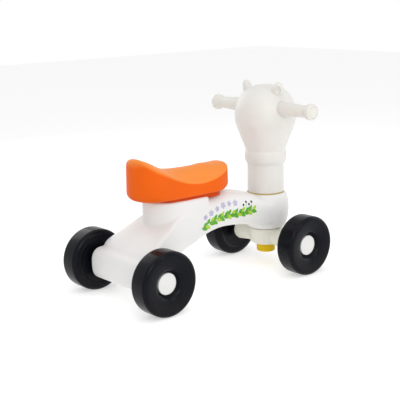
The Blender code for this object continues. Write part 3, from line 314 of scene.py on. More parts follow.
def moulded_plastic(name, colour, gloss, peel=0.10, waviness=0.25, scuff=0.05, haze=0.0,
                    dust=0.0, parting=None, sheen=0.5, upper=None, edge_tint=0.92):
    """Moulded plastic: cloudy tint, orange-peel skin, slow waves of the wall and fine scuffs.

    haze is how far light soaks into the wall, dust greys the lowest centimetres, parting is the
    half-width of the line where the mould halves met, in the middle plane, and sheen is how much
    the skin mirrors. upper is a lighter tint painted on faces that look up, a painted highlight of
    the light from above, and edge_tint that of the edges.
    """
    material, tree, shader = new_material(name)
    wire(shader, IOR=1.49, Specular_IOR_Level=sheen)
    if haze:
        wire(shader, Subsurface_Weight=haze, Subsurface_Scale=0.004,
             Subsurface_Radius=(1.0, 0.8, 0.6))
    where = node(tree, "TexCoord").outputs["Object"]
    clouds = node(tree, "TexNoise", where, Scale=9.0, Detail=4.0)
    base = ramp(tree, clouds, (0.35, [0.975 * part for part in colour]),
                (0.65, [1.015 * part for part in colour]))
    if upper:
        # Faces that look up take the upper tint: a painted highlight of the light from above.
        facing = node(tree, "NewGeometry").outputs["Normal"]
        apart = node(tree, "SeparateXYZ", facing)
        painted_top_highlight = node(tree, "MapRange", apart.outputs["Z"], 0.1, 0.8, interpolation_type="SMOOTHSTEP")
        base = tinted(tree, painted_top_highlight, base, upper)

    # The colour is scaled at sharp edges, grooves and hole rims: darker for a factor below one,
    # lighter above one.
    rounded = node(tree, "Bevel", Radius=0.0012, samples=4)
    plain = node(tree, "NewGeometry").outputs["Normal"]
    agree = node(tree, "VectorMath", rounded, plain, operation="DOT_PRODUCT")
    corner = node(tree, "MapRange", agree, 0.995, 0.90)
    base = tinted(tree, corner, base, [edge_tint] * 3, "MULTIPLY")

    scratches = node(tree, "TexNoise", where, Scale=38, Detail=8, Roughness=0.72, Distortion=1.6)
    worn = ramp(tree, scratches, (0.56, (0, 0, 0)), (0.70, (1, 1, 1)))
    amount = node(tree, "Math", worn, scuff * 6, operation="MULTIPLY")
    base = tinted(tree, amount, base, (0.93, 0.925, 0.915), "MULTIPLY")

    if dust:
        apart = node(tree, "SeparateXYZ", where)
        low = node(tree, "MapRange", apart.outputs["Z"], 0.075, 0.015)
        speckle = node(tree, "TexNoise", where, Scale=60.0, Detail=6.0, Roughness=0.7)
        patch = node(tree, "Math", low, speckle, operation="MULTIPLY")
        strength = node(tree, "Math", patch, dust, operation="MULTIPLY")
        base = tinted(tree, strength, base, (0.36, 0.33, 0.29))

    blur = node(tree, "Mix", Factor=0.4, A=clouds, B=worn)
    roughness = node(tree, "MapRange", blur, To_Min=gloss - 0.05, To_Max=gloss + 0.09)

    skin = node(tree, "TexNoise", where, Scale=620.0, Detail=2.0, Roughness=0.5)
    waves = node(tree, "TexNoise", where, Scale=22.0, Detail=1.0)
    slow = node(tree, "Bump", Strength=waviness, Distance=0.0012, Height=waves)
    normal = node(tree, "Bump", Strength=peel, Distance=0.0003, Height=skin, Normal=slow)
    if parting:
        apart = node(tree, "SeparateXYZ", where)
        off = node(tree, "Math", apart.outputs["Y"], operation="ABSOLUTE")
        seam = node(tree, "MapRange", off, parting, 0.0, interpolation_type="SMOOTHSTEP")
        normal = node(tree, "Bump", Strength=0.35, Distance=0.0004, Height=seam, Normal=normal)
    wire(shader, Base_Color=base, Roughness=roughness, Normal=normal)
    return material


def dress(thing, material):
    """Give a piece its one material."""
    thing.data.materials.clear()
    thing.data.materials.append(material)


base_share = guide((-0.165, 0.0), (-0.142, 0.5), (-0.118, 1.0), (0.0, 1.0), (0.015, 0.5),
                   (0.032, 0.0))    # where along X the saddle's base shows


def along_body(from_rear, from_front):
    """A guide along X, its places measured from the rear axle and from the steering axis."""
    return guide(*[(REAR_X + x, value) for x, value in from_rear],
                 *[(FRONT_X + x, value) for x, value in from_front])


def body_sections(stations=110, sides=96, belly_squareness=4.5):
    """Sections square to X: rounded back above the widest place, squarer belly below it."""
    slope_top = DECK_Z - AXLE_Z - 0.012
    crown = along_body(
        ((-0.013, 0.0320), (0.0, 0.0455), (0.032, 0.0705), (0.072, 0.0918), (0.112, 0.1140),
         (0.150, slope_top - 0.004), (0.190, slope_top + 0.004), (0.245, 0.1345)),
        ((-0.136, 0.1305), (-0.082, 0.1195), (-0.060, 0.1112), (-0.046, 0.1052),
         (-0.040, 0.1027), (0.0, 0.1007)))
    belly = along_body(
        ((-0.013, -0.0255), (0.0, -0.0300), (0.030, -0.0240), (0.072, -0.0080),
         (0.118, 0.0168), (0.155, 0.0300), (0.190, 0.0447)),
        ((-0.192, 0.0505), (-0.166, 0.0535), (-0.144, 0.0525), (-0.092, 0.0455),
         (-0.050, 0.0335), (0.0, 0.0255)))
    half_width = along_body(
        ((-0.013, 0.0780), (0.006, 0.0870), (0.024, 0.0795), (0.036, 0.0730), (0.052, 0.0682),
         (0.072, 0.0636), (0.092, 0.0565), (0.112, 0.0510), (0.132, 0.0472), (0.165, 0.0450)),
        ((-0.115, 0.0450), (-0.080, 0.0465), (-0.040, 0.0495), (0.0, 0.0505)))
    widest = along_body(
        ((-0.013, 0.0080), (0.010, 0.0400), (0.032, 0.0540), (0.072, 0.0770), (0.112, 0.0960),
         (0.150, 0.0980), (0.200, 0.0920)),
        ((-0.140, 0.0880), (-0.080, 0.0800), (0.0, 0.0700)))
    squareness = along_body(
        ((-0.013, 3.2), (0.072, 3.4), (0.150, 2.6), (0.200, 2.3)), ((-0.080, 2.5), (0.0, 2.6)))
    sections = []
    for station in range(stations + 1):
        x = TAIL_X + (NOSE_X - TAIL_X) * station / stations
        section = []
        for k in range(sides):
            upper = k <= sides // 2
            across, up = superellipse(2 * math.pi * k / sides,
                                      squareness(x) if upper else belly_squareness)
            reach = crown(x) - widest(x) if upper else widest(x) - belly(x)
            section.append((x, half_width(x) * across, AXLE_Z + widest(x) + reach * up))
        sections.append(section)
    return sections


def rear_housing(end_y=0.0940, edge=0.008, front=0.034, rear=0.0295, height=0.0345):
    """Rounded cross housing of the rear axle, its rear a little flatter."""
    sides = [(-end_y + edge * (1 - math.sin(a)), edge * (1 - math.cos(a)))
             for a in (math.radians(90 - 10 * step) for step in range(10))]
    sides += [(-y, inset) for y, inset in reversed(sides)]
    sections = []
    for y, inset in sides:
        section = []
        for k in range(96):
            along, up = superellipse(2 * math.pi * k / 96, 2.7)
            reach = front if along > 0 else rear
            x = REAR_X + (reach - inset) * along
            section.append((x, y, AXLE_Z + (height - inset) * up))
        sections.append(section)
    return lofted(sections)


def rounded_plan(rear, front, half, rear_round, front_round, inset=0.0, steps=16):
    """Outline in plan with rounded corners, drawn in by an inset."""
    outline = []
    for x, y, radius, start in (
        (front - front_round, half - front_round, front_round, 0),
        (rear + rear_round, half - rear_round, rear_round, 90),
        (rear + rear_round, rear_round - half, rear_round, 180),
        (front - front_round, front_round - half, front_round, 270),
    ):
        outline += arc((x, y), (radius - inset, radius - inset), start, start + 90, steps)
    return outline


def pedestal(edge=0.0060):
    """Raised block under the saddle, its upper edge well rounded."""
    def plan(inset):
        return rounded_plan(PEDESTAL_REAR_X, PEDESTAL_FRONT_X, 0.0454, 0.044, 0.012, inset)

    sections = [[(x, y, DECK_Z - 0.072) for x, y in plan(0)]]
    for step in range(11):
        angle = math.radians(9 * step)
        foot = DECK_Z - edge * (1 - math.sin(angle))
        sections.append([(x, y, foot - DECK_DIP * base_share(x))
                         for x, y in plan(edge * (1 - math.cos(angle)))])
    return lofted(sections)


def boss(top_radius=0.0440, radius=0.0535, waist=0.134, foot_radius=0.0380):
    """Barrel-shaped boss round the steering axis, with a short spigot that holds the bush."""
    outline = [(0, BUSH_TOP_Z), (0.0222, BUSH_TOP_Z), (0.0222, BOSS_FOOT_Z),
               (foot_radius - 0.0010, BOSS_FOOT_Z)]
    outline += arc((foot_radius, waist), (radius - foot_radius, waist - BOSS_FOOT_Z - 0.0006),
                   -88, 0, 32)
    outline += arc((top_radius, waist), (radius - top_radius, BOSS_TOP_Z - waist), 0, 84, 20)[1:]
    return turned(outline + [(top_radius - 0.0006, BOSS_TOP_Z), (0, BOSS_TOP_Z)], 128)


def curved_bar(radius, width, foot, top, half_angle, steps=24):
    """A bar bent round the steering axis, in front of it."""
    sections = []
    for step in range(steps + 1):
        angle = math.radians(half_angle * (2 * step / steps - 1))
        c, s = math.cos(angle), math.sin(angle)
        corners = ((radius - width / 2, foot), (radius + width / 2, foot),
                   (radius + width / 2, top), (radius - width / 2, top))
        sections.append([(r * c, r * s, z) for r, z in corners])
    return lofted(sections)


body = piece("body_shell", lofted(body_sections()))
forms = [
    piece("housing_form", rear_housing()),
    piece("pedestal_form", pedestal()),
    piece("boss_form", boss(), upright()),
]
melt_together(body, forms, BODY_VOXEL, 45)
holes = [
    piece("axle_bore", rod(AXLE_HOLE, -0.1, 0.1), crosswise(REAR_X, AXLE_Z)),
    piece("column_bore", rod(SLEEVE_HOLE, 0.07, 0.19), upright()),
    piece("bush_pocket", rod(0.0228, 0.07, BUSH_TOP_Z), upright()),
    piece("stop_slot", curved_bar(STOP_RADIUS, 0.0070, 0.085, BOSS_FOOT_Z + 0.0065, 45.5),
          upright()),
]
for side in (1, -1):
    holes.append(piece("hub_recess", rod(0.0168, BEARER_END_Y, 0.11),
                       crosswise(REAR_X, AXLE_Z, side)))
for place in WELL_X:
    holes.append(piece("well", rod(WELL_RADIUS, 0.02, DECK_Z - 0.012), upright(place)))
    holes.append(piece("screw_hole", rod(SCREW_HOLE, 0.10, DECK_Z + 0.01), upright(place)))
bore(body, holes)
dress(body, moulded_plastic("body_ivory", (0.790, 0.785, 0.770), 0.40, haze=0.06, dust=0.10,
                            parting=0.0007))
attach(body, "chassis")
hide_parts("body")

# Side print
# Thin printed film on the right flank, between the saddle and the boss: a leafy sprig with small
# pale blossoms and dark berries, pressed on so that it follows the curve of the wall.
FILM_LIFT = 0.00010
film_bed = BVHTree.FromObject(body, bpy.context.evaluated_depsgraph_get())


def press_on(outlines, name, ink, colour):
    """Flat outlines given as (x, z) points, cut from inked film and pressed on the right flank."""
    bm = bmesh.new()
    for outline in outlines:
        bm.faces.new([bm.verts.new((x, 0, z)) for x, z in outline])
    bmesh.ops.triangulate(bm, faces=bm.faces)
    for _ in range(3):
        long = [edge for edge in bm.edges if edge.calc_length() > 0.0022]
        bmesh.ops.subdivide_edges(bm, edges=long, cuts=1)
        bmesh.ops.triangulate(bm, faces=bm.faces)
    for vert in bm.verts:
        outside = Vector((vert.co.x, -0.2, vert.co.z))
        spot, normal, _, _ = film_bed.ray_cast(outside, Vector((0, 1, 0)))
        vert.co = spot + normal * FILM_LIFT
    film = piece(name, bm)
    if sum(face.normal.y for face in film.data.polygons) > 0:
        film.data.flip_normals()
    thick = film.modifiers.new("film", "SOLIDIFY")
    thick.thickness = 0.00008
    thick.offset = -1
    settle(film)
    dress(film, moulded_plastic(ink, colour, 0.38, peel=0.03, waviness=0.0, scuff=0.03))
    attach(film, "chassis")


def swung(x, z, turn, points):
    """Points given along and across a line from (x, z), the line turned by an angle."""
    c, s = math.cos(turn), math.sin(turn)
    return [(x + along * c - across * s, z + along * s + across * c) for along, across in points]


def leaf(x, z, length, width, lean):
    """Almond leaf from its stalk's end, leaning up from forward by degrees."""
    points = []
    for side in (1, -1):
        for step in range(12):
            t = step / 12 if side > 0 else 1 - step / 12
            across = side * width / 2 * math.sin(math.pi * t) ** 0.8 * (1.15 - 0.3 * t)
            points.append((length * t, across))
    return swung(x, z, math.radians(lean), points)


def petal(x, z, reach, turn):
    """Round petal of a blossom about (x, z)."""
    return swung(x, z, turn, arc((reach * 0.62, 0), (reach * 0.38, reach * 0.36), 0, 337.5, 15))


def dot(x, z, radius):
    return arc((x, z), (radius, radius), 0, 340, 17)


def ribbon(points, width):
    """Stem of even width along a smooth line, tapering at both ends."""
    upper, lower = [], []
    for k, (x, z) in enumerate(points):
        a, b = points[max(k - 1, 0)], points[min(k + 1, len(points) - 1)]
        run = math.hypot(b[0] - a[0], b[1] - a[1])
        half = width / 2 * min(1, 0.3 + 4 * min(k, len(points) - 1 - k) / len(points))
        nx, nz = -(b[1] - a[1]) / run * half, (b[0] - a[0]) / run * half
        upper.append((x + nx, z + nz))
        lower.append((x - nx, z - nz))
    return [[upper[k], lower[k], lower[k + 1], upper[k + 1]] for k in range(len(points) - 1)]


stem = guide((-0.044, 0.1325), (-0.010, 0.1450), (0.030, 0.1505), (0.070, 0.1485), (0.118, 0.1500))
stem_line = [(x / 1000, stem(x / 1000)) for x in range(-44, 117, 3)]
dark_leaves, light_leaves, petals, hearts, berries = ribbon(stem_line, 0.0021), [], [], [], []
for k in range(15):
    x = -0.040 + 0.0103 * k
    below = leaf(x, stem(x), 0.0180, 0.0090, -34 if k % 2 else -20)
    above = leaf(x + 0.004, stem(x + 0.004), 0.0145, 0.0078, 52 if k % 2 else 36)
    (light_leaves if k % 3 == 1 else dark_leaves).append(below)
    (light_leaves if k % 3 == 2 else dark_leaves).append(above)
for k, (x, z) in enumerate(((-0.030, 0.1560), (-0.013, 0.1625), (0.005, 0.1690), (0.023, 0.1735),
                            (0.041, 0.1745), (0.059, 0.1730))):
    reach = 0.0076 if k % 2 else 0.0064
    petals += [petal(x, z, reach, 0.3 * k + 2 * math.pi * n / 5) for n in range(5)]
    hearts.append(dot(x, z, 0.0013))
for x, z in ((0.083, 0.1650), (0.092, 0.1700), (0.0995, 0.1640), (0.108, 0.1680)):
    berries.append(dot(x, z, 0.0027))
    stalk = [(x, z - 0.0015), (x - 0.0005, z - 0.005), (x - 0.002, stem(x) + 0.0005)]
    dark_leaves += ribbon(stalk, 0.0009)
press_on(dark_leaves, "print_leaves_dark", "leaf_green", (0.095, 0.370, 0.018))
press_on(light_leaves, "print_leaves_light", "leaf_lime", (0.400, 0.610, 0.030))
press_on(petals, "print_petals", "petal_lavender", (0.490, 0.470, 0.640))
press_on(hearts, "print_hearts", "heart_violet", (0.160, 0.110, 0.260))
press_on(berries, "print_berries", "berry_black", (0.015, 0.015, 0.018))

# Saddle
# Orange moulding on the pedestal: smooth side wall with a big rounding behind, satin top that is
# dished in the middle and climbs to the rear, its upward faces painted lighter as a painted
# highlight, and a base that stands back under the wall, darkened to a deeper red as painted shade.
# Two screws hold it from inside the wells in the belly.
SEAT_REAR_X = -0.1915
SEAT_FRONT_X = 0.0582
SEAT_FOOT_Z = 0.2073
SEAT_LIFT = 0.0016              # the saddle's foot is this much higher where the base shows
SEAT_WALL = 0.001               # how far the side wall leans in
SEAT_REAR_HALF = 0.0515
SEAT_FRONT_HALF = 0.0536
SEAT_REAR_ROUND = 0.048
SEAT_FRONT_ROUND = 0.066
SEAT_MID_LOW = 0.0568
SEAT_SIDE_LOW = 0.0293

seat_middle = guide(*[(SEAT_REAR_X + x, SEAT_MID_LOW + rise) for x, rise in (
    (0.0, 0.0560), (0.010, 0.0566), (0.022, 0.0440), (0.038, 0.0258), (0.060, 0.0125),
    (0.085, 0.0036), (0.115, 0.0008), (0.160, 0.0), (0.206, 0.0034), (0.228, 0.0110),
    (0.240, 0.0168), (0.2497, 0.0208))])
seat_side = guide(*[(SEAT_REAR_X + x, SEAT_SIDE_LOW + rise) for x, rise in (
    (0.0, 0.0620), (0.012, 0.0660), (0.022, 0.0572), (0.038, 0.0432), (0.060, 0.0302),
    (0.085, 0.0164), (0.115, 0.0047), (0.150, 0.0), (0.180, 0.0032), (0.206, 0.0104),
    (0.228, 0.0196), (0.240, 0.0262), (0.2497, 0.0312))])
seat_under = guide((SEAT_REAR_X, 0.018), (-0.165, 0.016), (-0.142, 0.010), (-0.118, 0.0045),
                   (0.0, 0.0045), (0.020, 0.010), (0.040, 0.015), (SEAT_FRONT_X, 0.017))
seat_edge = guide((SEAT_REAR_X, 0.0270), (SEAT_REAR_X + 0.018, 0.0215),
                  (SEAT_REAR_X + 0.05, 0.0135), (SEAT_REAR_X + 0.12, 0.0052),
                  (SEAT_FRONT_X - 0.05, 0.0052), (SEAT_FRONT_X, 0.0090))


def seat_plan(corner=26, straight=30):
    """Edge points in plan, each with the point of the middle line that it faces."""
    rear_line, front_line = SEAT_REAR_X + SEAT_REAR_ROUND, SEAT_FRONT_X - SEAT_FRONT_ROUND
    points = []
    for k in range(corner):
        along, across = superellipse(math.pi / 2 * k / (corner - 1), 2.3)
        points.append((front_line + SEAT_FRONT_ROUND * along, SEAT_FRONT_HALF * across, front_line))
    for k in range(1, straight):
        share = k / straight
        blend = share * share * (3 - 2 * share)
        half = SEAT_FRONT_HALF + (SEAT_REAR_HALF - SEAT_FRONT_HALF) * blend
        x = front_line + (rear_line - front_line) * share
        points.append((x, half, x))
    for k in range(corner):
        along, across = superellipse(math.pi / 2 * (1 + k / (corner - 1)), 2.0)
        points.append((rear_line + SEAT_REAR_ROUND * along, SEAT_REAR_HALF * across, rear_line))
    return points + [(x, -y, middle) for x, y, middle in reversed(points[1:-1])]


def seat_ring(plan, inset, height):
    """The plan drawn in towards the middle line, at the given heights."""
    ring = []
    for x, y, middle in plan:
        edge = Vector((x, y, 0))
        place = edge + (Vector((middle, 0, 0)) - edge).normalized() * inset(x)
        ring.append((place.x, place.y, SEAT_FOOT_Z + height(x, place.x)))
    return ring


def seat_foot(x, step):
    """Inset and height of the rounded lower edge."""
    s, c = math.sin(math.radians(7.5 * step)), math.cos(math.radians(7.5 * step))
    return seat_under(x) * (1 - s), SEAT_LIFT * base_share(x) + seat_under(x) * (1 - c)


def saddle():
    """The saddle's skin: foot, side wall, rounded edge and dished top."""
    plan = seat_plan()
    rings = []
    for step in range(13):
        rings.append(seat_ring(plan, lambda x: seat_foot(x, step)[0],
                               lambda x, at: seat_foot(x, step)[1]))
    for share in (0.25, 0.5, 0.75):
        rings.append(seat_ring(plan, lambda x: SEAT_WALL * share, lambda x, at: (
            seat_foot(x, 12)[1] + (seat_side(at) - seat_edge(x) - seat_foot(x, 12)[1]) * share)))
    for step in range(9):
        s, c = math.sin(math.radians(9 * step)), math.cos(math.radians(9 * step))
        rings.append(seat_ring(plan, lambda x: SEAT_WALL + seat_edge(x) * (1 - c),
                               lambda x, at: seat_side(at) - seat_edge(x) * (1 - s)))
    for step in range(17):
        share = step / 17
        ring = []
        for x, y, middle in plan:
            edge, heart = Vector((x, y, 0)), Vector((middle, 0, 0))
            start = edge + (heart - edge).normalized() * (SEAT_WALL + seat_edge(x) * 0.87)
            place = start.lerp(heart, share)
            crown = seat_middle(place.x) - seat_side(place.x)
            z = seat_middle(place.x) - crown * (1 - share) ** 2
            ring.append((place.x, place.y, SEAT_FOOT_Z + z))
        rings.append(ring)
    bm = bmesh.new()
    skin = [[bm.verts.new(point) for point in ring] for ring in rings]
    for lower, upper in zip(skin, skin[1:]):
        bridge(bm, lower, upper)
    bm.faces.new(skin[0])
    last, count = skin[-1], len(skin[-1])
    for k in range(count // 2):
        corners = []
        for corner in (last[k], last[k + 1], last[-(k + 1) % count], last[-k % count]):
            if corner not in corners:
                corners.append(corner)
        bm.faces.new(corners)
    return bm


seat = piece("saddle", saddle())
soften(seat, 3)
bore(seat, [piece("seat_hole", rod(SCREW_HOLE, SEAT_FOOT_Z - 0.01, SEAT_FOOT_Z + 0.0163, 32),
                  upright(x)) for x in WELL_X])
# The upper tint paints the saddle's upward faces lighter and yellower: a painted highlight of the
# light from above.
dress(seat, moulded_plastic("saddle_orange", (0.800, 0.118, 0.004), 0.42, waviness=0.2,
                            scuff=0.04, sheen=0.11, upper=(0.880, 0.270, 0.050)))
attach(seat, "chassis")
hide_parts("seat")


def saddle_base(front=0.0360, foot_z=0.1975):
    """The set-back base under the saddle, its foot lower in front of the pedestal."""
    plan = rounded_plan(PEDESTAL_REAR_X + 0.0020, front, 0.0432, 0.042, 0.040, steps=24)
    dipped = DECK_Z - DECK_DIP
    front_foot = guide((-0.0150, dipped), (-0.0060, foot_z), (front, foot_z))
    rear_foot = guide((-0.165, DECK_Z), (-0.142, DECK_Z - DECK_DIP / 2), (-0.118, dipped))
    return lofted([
        [(x, y, (front_foot if x > -0.0150 else rear_foot)(x)) for x, y in plan],
        [(x, y, SEAT_FOOT_Z + SEAT_LIFT * base_share(x)) for x, y in plan],
    ])


base = piece("saddle_base", saddle_base())
# Its orange is darkened to a deeper red: painted shade of the recess under the saddle's overhang.
dress(base, moulded_plastic("saddle_base_painted_shade", (0.560, 0.058, 0.003), 0.50, waviness=0.2, scuff=0.04,
                            sheen=0.1))
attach(base, "chassis")

# Steel and nylon fittings
# Axles, column, handle rod, screws and push-on nuts are bright drawn steel; the bushes are
# natural nylon. They lie inside the mouldings and keep the shapes of the solids.


def drawn_steel():
    """Bright steel with fine drawing marks and dull spots."""
    material, tree, shader = new_material("drawn_steel")
    where = node(tree, "TexCoord").outputs["Object"]
    dull = node(tree, "TexNoise", where, Scale=90.0, Detail=6.0, Roughness=0.65)
    marks = node(tree, "TexNoise", where, Scale=900.0, Detail=2.0)
    grey = ramp(tree, dull, (0.3, (0.42, 0.43, 0.45)), (0.7, (0.60, 0.61, 0.62)))
    rough = node(tree, "MapRange", dull, To_Min=0.22, To_Max=0.48)
    bump = node(tree, "Bump", Strength=0.15, Distance=0.0002, Height=marks)
    wire(shader, Metallic=1.0, Base_Color=grey, Roughness=rough, Normal=bump)
    return material


def finish_nodes(names, material):
    """Give solids that keep their shape a finished material."""
    for name in names:
        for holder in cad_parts[name].material_slots:
            holder.material = material


SIDES = ((1, "left"), (-1, "right"))
CORNERS = [f"{end}_{name}" for end in ("rear", "front") for _, name in SIDES]
finish_nodes(["rear_axle", "front_axle", "steering_column", "handle_rod", "seat_rear_screw",
              "seat_front_screw", "neck_screw"] + [f"axle_nut_{corner}" for corner in CORNERS],
             drawn_steel())
finish_nodes(["lower_bush"] + [f"axle_bush_{corner}" for corner in CORNERS],
             moulded_plastic("natural_nylon", (0.70, 0.68, 0.61), 0.45, scuff=0.08))

# Neck ring and end cap
# Yellow acetal: the thin ring that shows between boss and neck is the flange of the upper
# bearing sleeve, and the cup closes the foot of the steering column under the yoke.
SLEEVE_BORE = 0.01264
SLEEVE_RADIUS = 0.01614
COLUMN_HOLE = 0.0128
CUP_TOP_Z = 0.0496
CUP_FOOT_Z = 0.0301
yellow = moulded_plastic("acetal_yellow", (0.680, 0.450, 0.004), 0.33, scuff=0.06, sheen=0.12)
outline = raised(BOSS_TOP_Z, (SLEEVE_BORE, -0.0297), (SLEEVE_RADIUS, -0.0297),
                 (SLEEVE_RADIUS, 0.0002), (0.0427, 0.0002), (0.0430, 0.0004), (0.0430, 0.0009),
                 (0.0427, 0.0012), (SLEEVE_BORE, 0.0012))
ring = piece("bearing_ring", turned(outline, 96, bored=True), upright())
dress(ring, yellow)
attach(ring, "chassis")
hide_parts("neck_ring")

outline = raised(CUP_FOOT_Z, (0, 0.0004), (0.0070, 0.0004), (0.0080, 0))
outline += arc((0.0186, CUP_FOOT_Z + 0.0030), (0.0030, 0.0030), -90, 0, 8)
outline += raised(CUP_TOP_Z, (0.0224, -0.0030), (0.0227, -0.0026), (0.0227, -0.0005),
                  (0.0222, 0), (COLUMN_HOLE, 0))
outline += raised(CUP_FOOT_Z, (COLUMN_HOLE, 0.004), (0, 0.004))
cup = piece("column_cup", turned(outline, 96), upright())
dress(cup, yellow)
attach(cup, "steering")
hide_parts("column_end_cap")

# Front yoke
# White moulding under the boss that turns with the head: tapered centre, an arm out to each front
# wheel hollowed to clear the boss, and the lug of the steering stop.
YOKE_TOP_Z = 0.0885
YOKE_FOOT_Z = 0.0500
BUSH_SEAT_Z = 0.0789

outline = [(0, YOKE_FOOT_Z), (0.0275, YOKE_FOOT_Z)]
outline += arc((0.0275, YOKE_FOOT_Z + 0.0105), (0.0105, 0.0105), -90, -12, 12)
outline += raised(YOKE_TOP_Z, (0.0394, -0.0120), (0.0396, -0.0045), (0.0388, -0.0012),
                  (0.0372, 0), (0, 0))
yoke = piece("yoke", turned(outline, 128), upright())
arm = guide((0.020, 0.0185), (0.040, 0.0195), (0.065, 0.0222), (0.082, 0.0240))
outline = [(arm(abs(y) / 1000), y / 1000) for y in range(-80, 81, 4)]
outline = arc((0.0150, 0.0090 - BEARER_END_Y), (0.0090, 0.0090), -90, -5, 12) + outline
outline += arc((0.0150, BEARER_END_Y - 0.0090), (0.0090, 0.0090), 5, 90, 12)
outline = [(0, -BEARER_END_Y)] + outline + [(0, BEARER_END_Y)]
arms = piece("arms", turned(outline, 96), crosswise(FRONT_X, AXLE_Z))
outline = [(0, YOKE_TOP_Z - 0.0005), (0.0400, YOKE_TOP_Z - 0.0005),
           (0.0470, BOSS_FOOT_Z + 0.0062), (0.0510, 0.1020), (0, 0.1020)]
bore(arms, [piece("boss_sweep", turned(outline, 128), upright())])
lug = piece("stop_lug", curved_bar(STOP_RADIUS, 0.0050, YOKE_TOP_Z - 0.004, BOSS_FOOT_Z + 0.0055,
                                   9.0), upright())
melt_together(yoke, [arms, lug], 0.0009, 16, 3)
bore(yoke, [
    piece("bush_room", rod(0.0233, BUSH_SEAT_Z, YOKE_TOP_Z + 0.02), upright()),
    piece("yoke_column_bore", rod(COLUMN_HOLE, YOKE_FOOT_Z - 0.01, YOKE_TOP_Z + 0.02), upright()),
    piece("yoke_axle_bore", rod(AXLE_HOLE, -0.1, 0.1), crosswise(FRONT_X, AXLE_Z)),
])
dress(yoke, moulded_plastic("fitting_white", (0.770, 0.752, 0.655), 0.42, haze=0.05, dust=0.06))
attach(yoke, "steering")
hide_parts("front_yoke")

# Head
# The sheep's head is one white hollow moulding with the neck and its rolled collar; it slips over
# the column and steers. Ears, muzzle, nostrils and mouth are part of the moulding, the eyes are
# glossy black domes pushed into sockets.
NECK_FOOT_Z = 0.1736
COLLAR_FOOT_Z = 0.2408
COLLAR_TOP_Z = 0.2708
COLUMN_TOP_Z = 0.2348
SKULL_Z = 0.3508
SKULL_RADIUS = 0.070
CROWN_RISE = 0.0712             # skull's middle to the flattened crown
NECK_RADIUS = 0.0425
NECK_TOP_RADIUS = 0.0418
COLLAR_RADIUS = 0.0482
THROAT_RADIUS = 0.0450
HANDLE_X = FRONT_X - 0.009
HANDLE_Z = 0.3710
HANDLE_ROOT_Y = 0.0534
ROD_HOLE = 0.0053
EAR_REACH = (0.0110, 0.0130, 0.0170)
EYE_DEPTH = SKULL_RADIUS + 0.0009


def head_shell():
    """Neck, rolled collar, throat and skull, turned about the steering axis."""
    outline = raised(NECK_FOOT_Z, (0, 0), (NECK_RADIUS - 0.0008, 0), (NECK_RADIUS, 0.0012))
    outline.append((NECK_TOP_RADIUS, COLLAR_FOOT_Z - 0.001))
    middle = COLLAR_FOOT_Z + 0.0156
    for angle in range(-70, 71, 10):
        share = math.cos(math.radians(angle))
        base = NECK_TOP_RADIUS if angle < 0 else THROAT_RADIUS
        outline.append((base + (COLLAR_RADIUS - base) * share,
                        middle + 0.015 * math.sin(math.radians(angle))))
    outline.append((THROAT_RADIUS, COLLAR_TOP_Z))
    apart = math.hypot(THROAT_RADIUS, SKULL_Z - COLLAR_TOP_Z)
    lean = math.degrees(math.acos(SKULL_RADIUS / apart))
    toward = math.degrees(math.atan2(COLLAR_TOP_Z - SKULL_Z, THROAT_RADIUS))
    outline += arc((0, SKULL_Z), (SKULL_RADIUS, SKULL_RADIUS), toward + lean, 0, 20)
    for step in range(1, 24):
        across, up = superellipse(math.pi / 2 * step / 24, 2.25)
        outline.append((SKULL_RADIUS * across, SKULL_Z + CROWN_RISE * up))
    return turned(outline + [(0, SKULL_Z + CROWN_RISE)], 128)


def lump(reach, squareness=2.0, taper=0.0, rings=24, segments=48):
    """A closed egg about its middle; taper narrows it towards +Z."""
    outline = [(0, -1)]
    for ring in range(1, rings):
        across, up = superellipse(math.pi * (ring / rings - 0.5), squareness)
        outline.append((across * (1 - taper * up), up))
    bm = turned(outline + [(0, 1)], segments)
    bmesh.ops.scale(bm, vec=reach, verts=bm.verts)
    return bm


def turn(degrees, axis):
    return Matrix.Rotation(math.radians(degrees), 4, axis)


def at_head(x, y, z, degrees=0, axis="X"):
    """Placing from the skull's centre, turned by degrees about an axis."""
    return Matrix.Translation((FRONT_X + x, y, SKULL_Z + z)) @ turn(degrees, axis)


def tube(points, radius, name):
    """A closed round-ended bead along points, as a mesh."""
    curve = bpy.data.curves.new(name, "CURVE")
    curve.dimensions = "3D"
    curve.bevel_depth = radius
    curve.bevel_resolution = 4
    curve.use_fill_caps = True
    line = curve.splines.new("POLY")
    line.points.add(len(points) - 1)
    for point, place in zip(line.points, points):
        point.co = (*place, 1)
    holder = show(name, curve)
    mesh = bpy.data.meshes.new_from_object(holder)
    bpy.data.objects.remove(holder)
    return show(name, mesh)


def eye_seat(side):
    """Placing of an eye: its +Z leaves the skull along the line of sight."""
    sight = turn(27 * side, "Z") @ turn(76, "Y")
    return at_head(0, 0, 0) @ sight @ Matrix.Translation((0, 0, EYE_DEPTH))


def ear_seat(side):
    """Placing of an ear, leaning outward; its hollow, on -X, opens outward and to the rear."""
    return at_head(-0.0097, 0.0500 * side, 0.0624, -12 * side) @ turn(-45 * side, "Z")


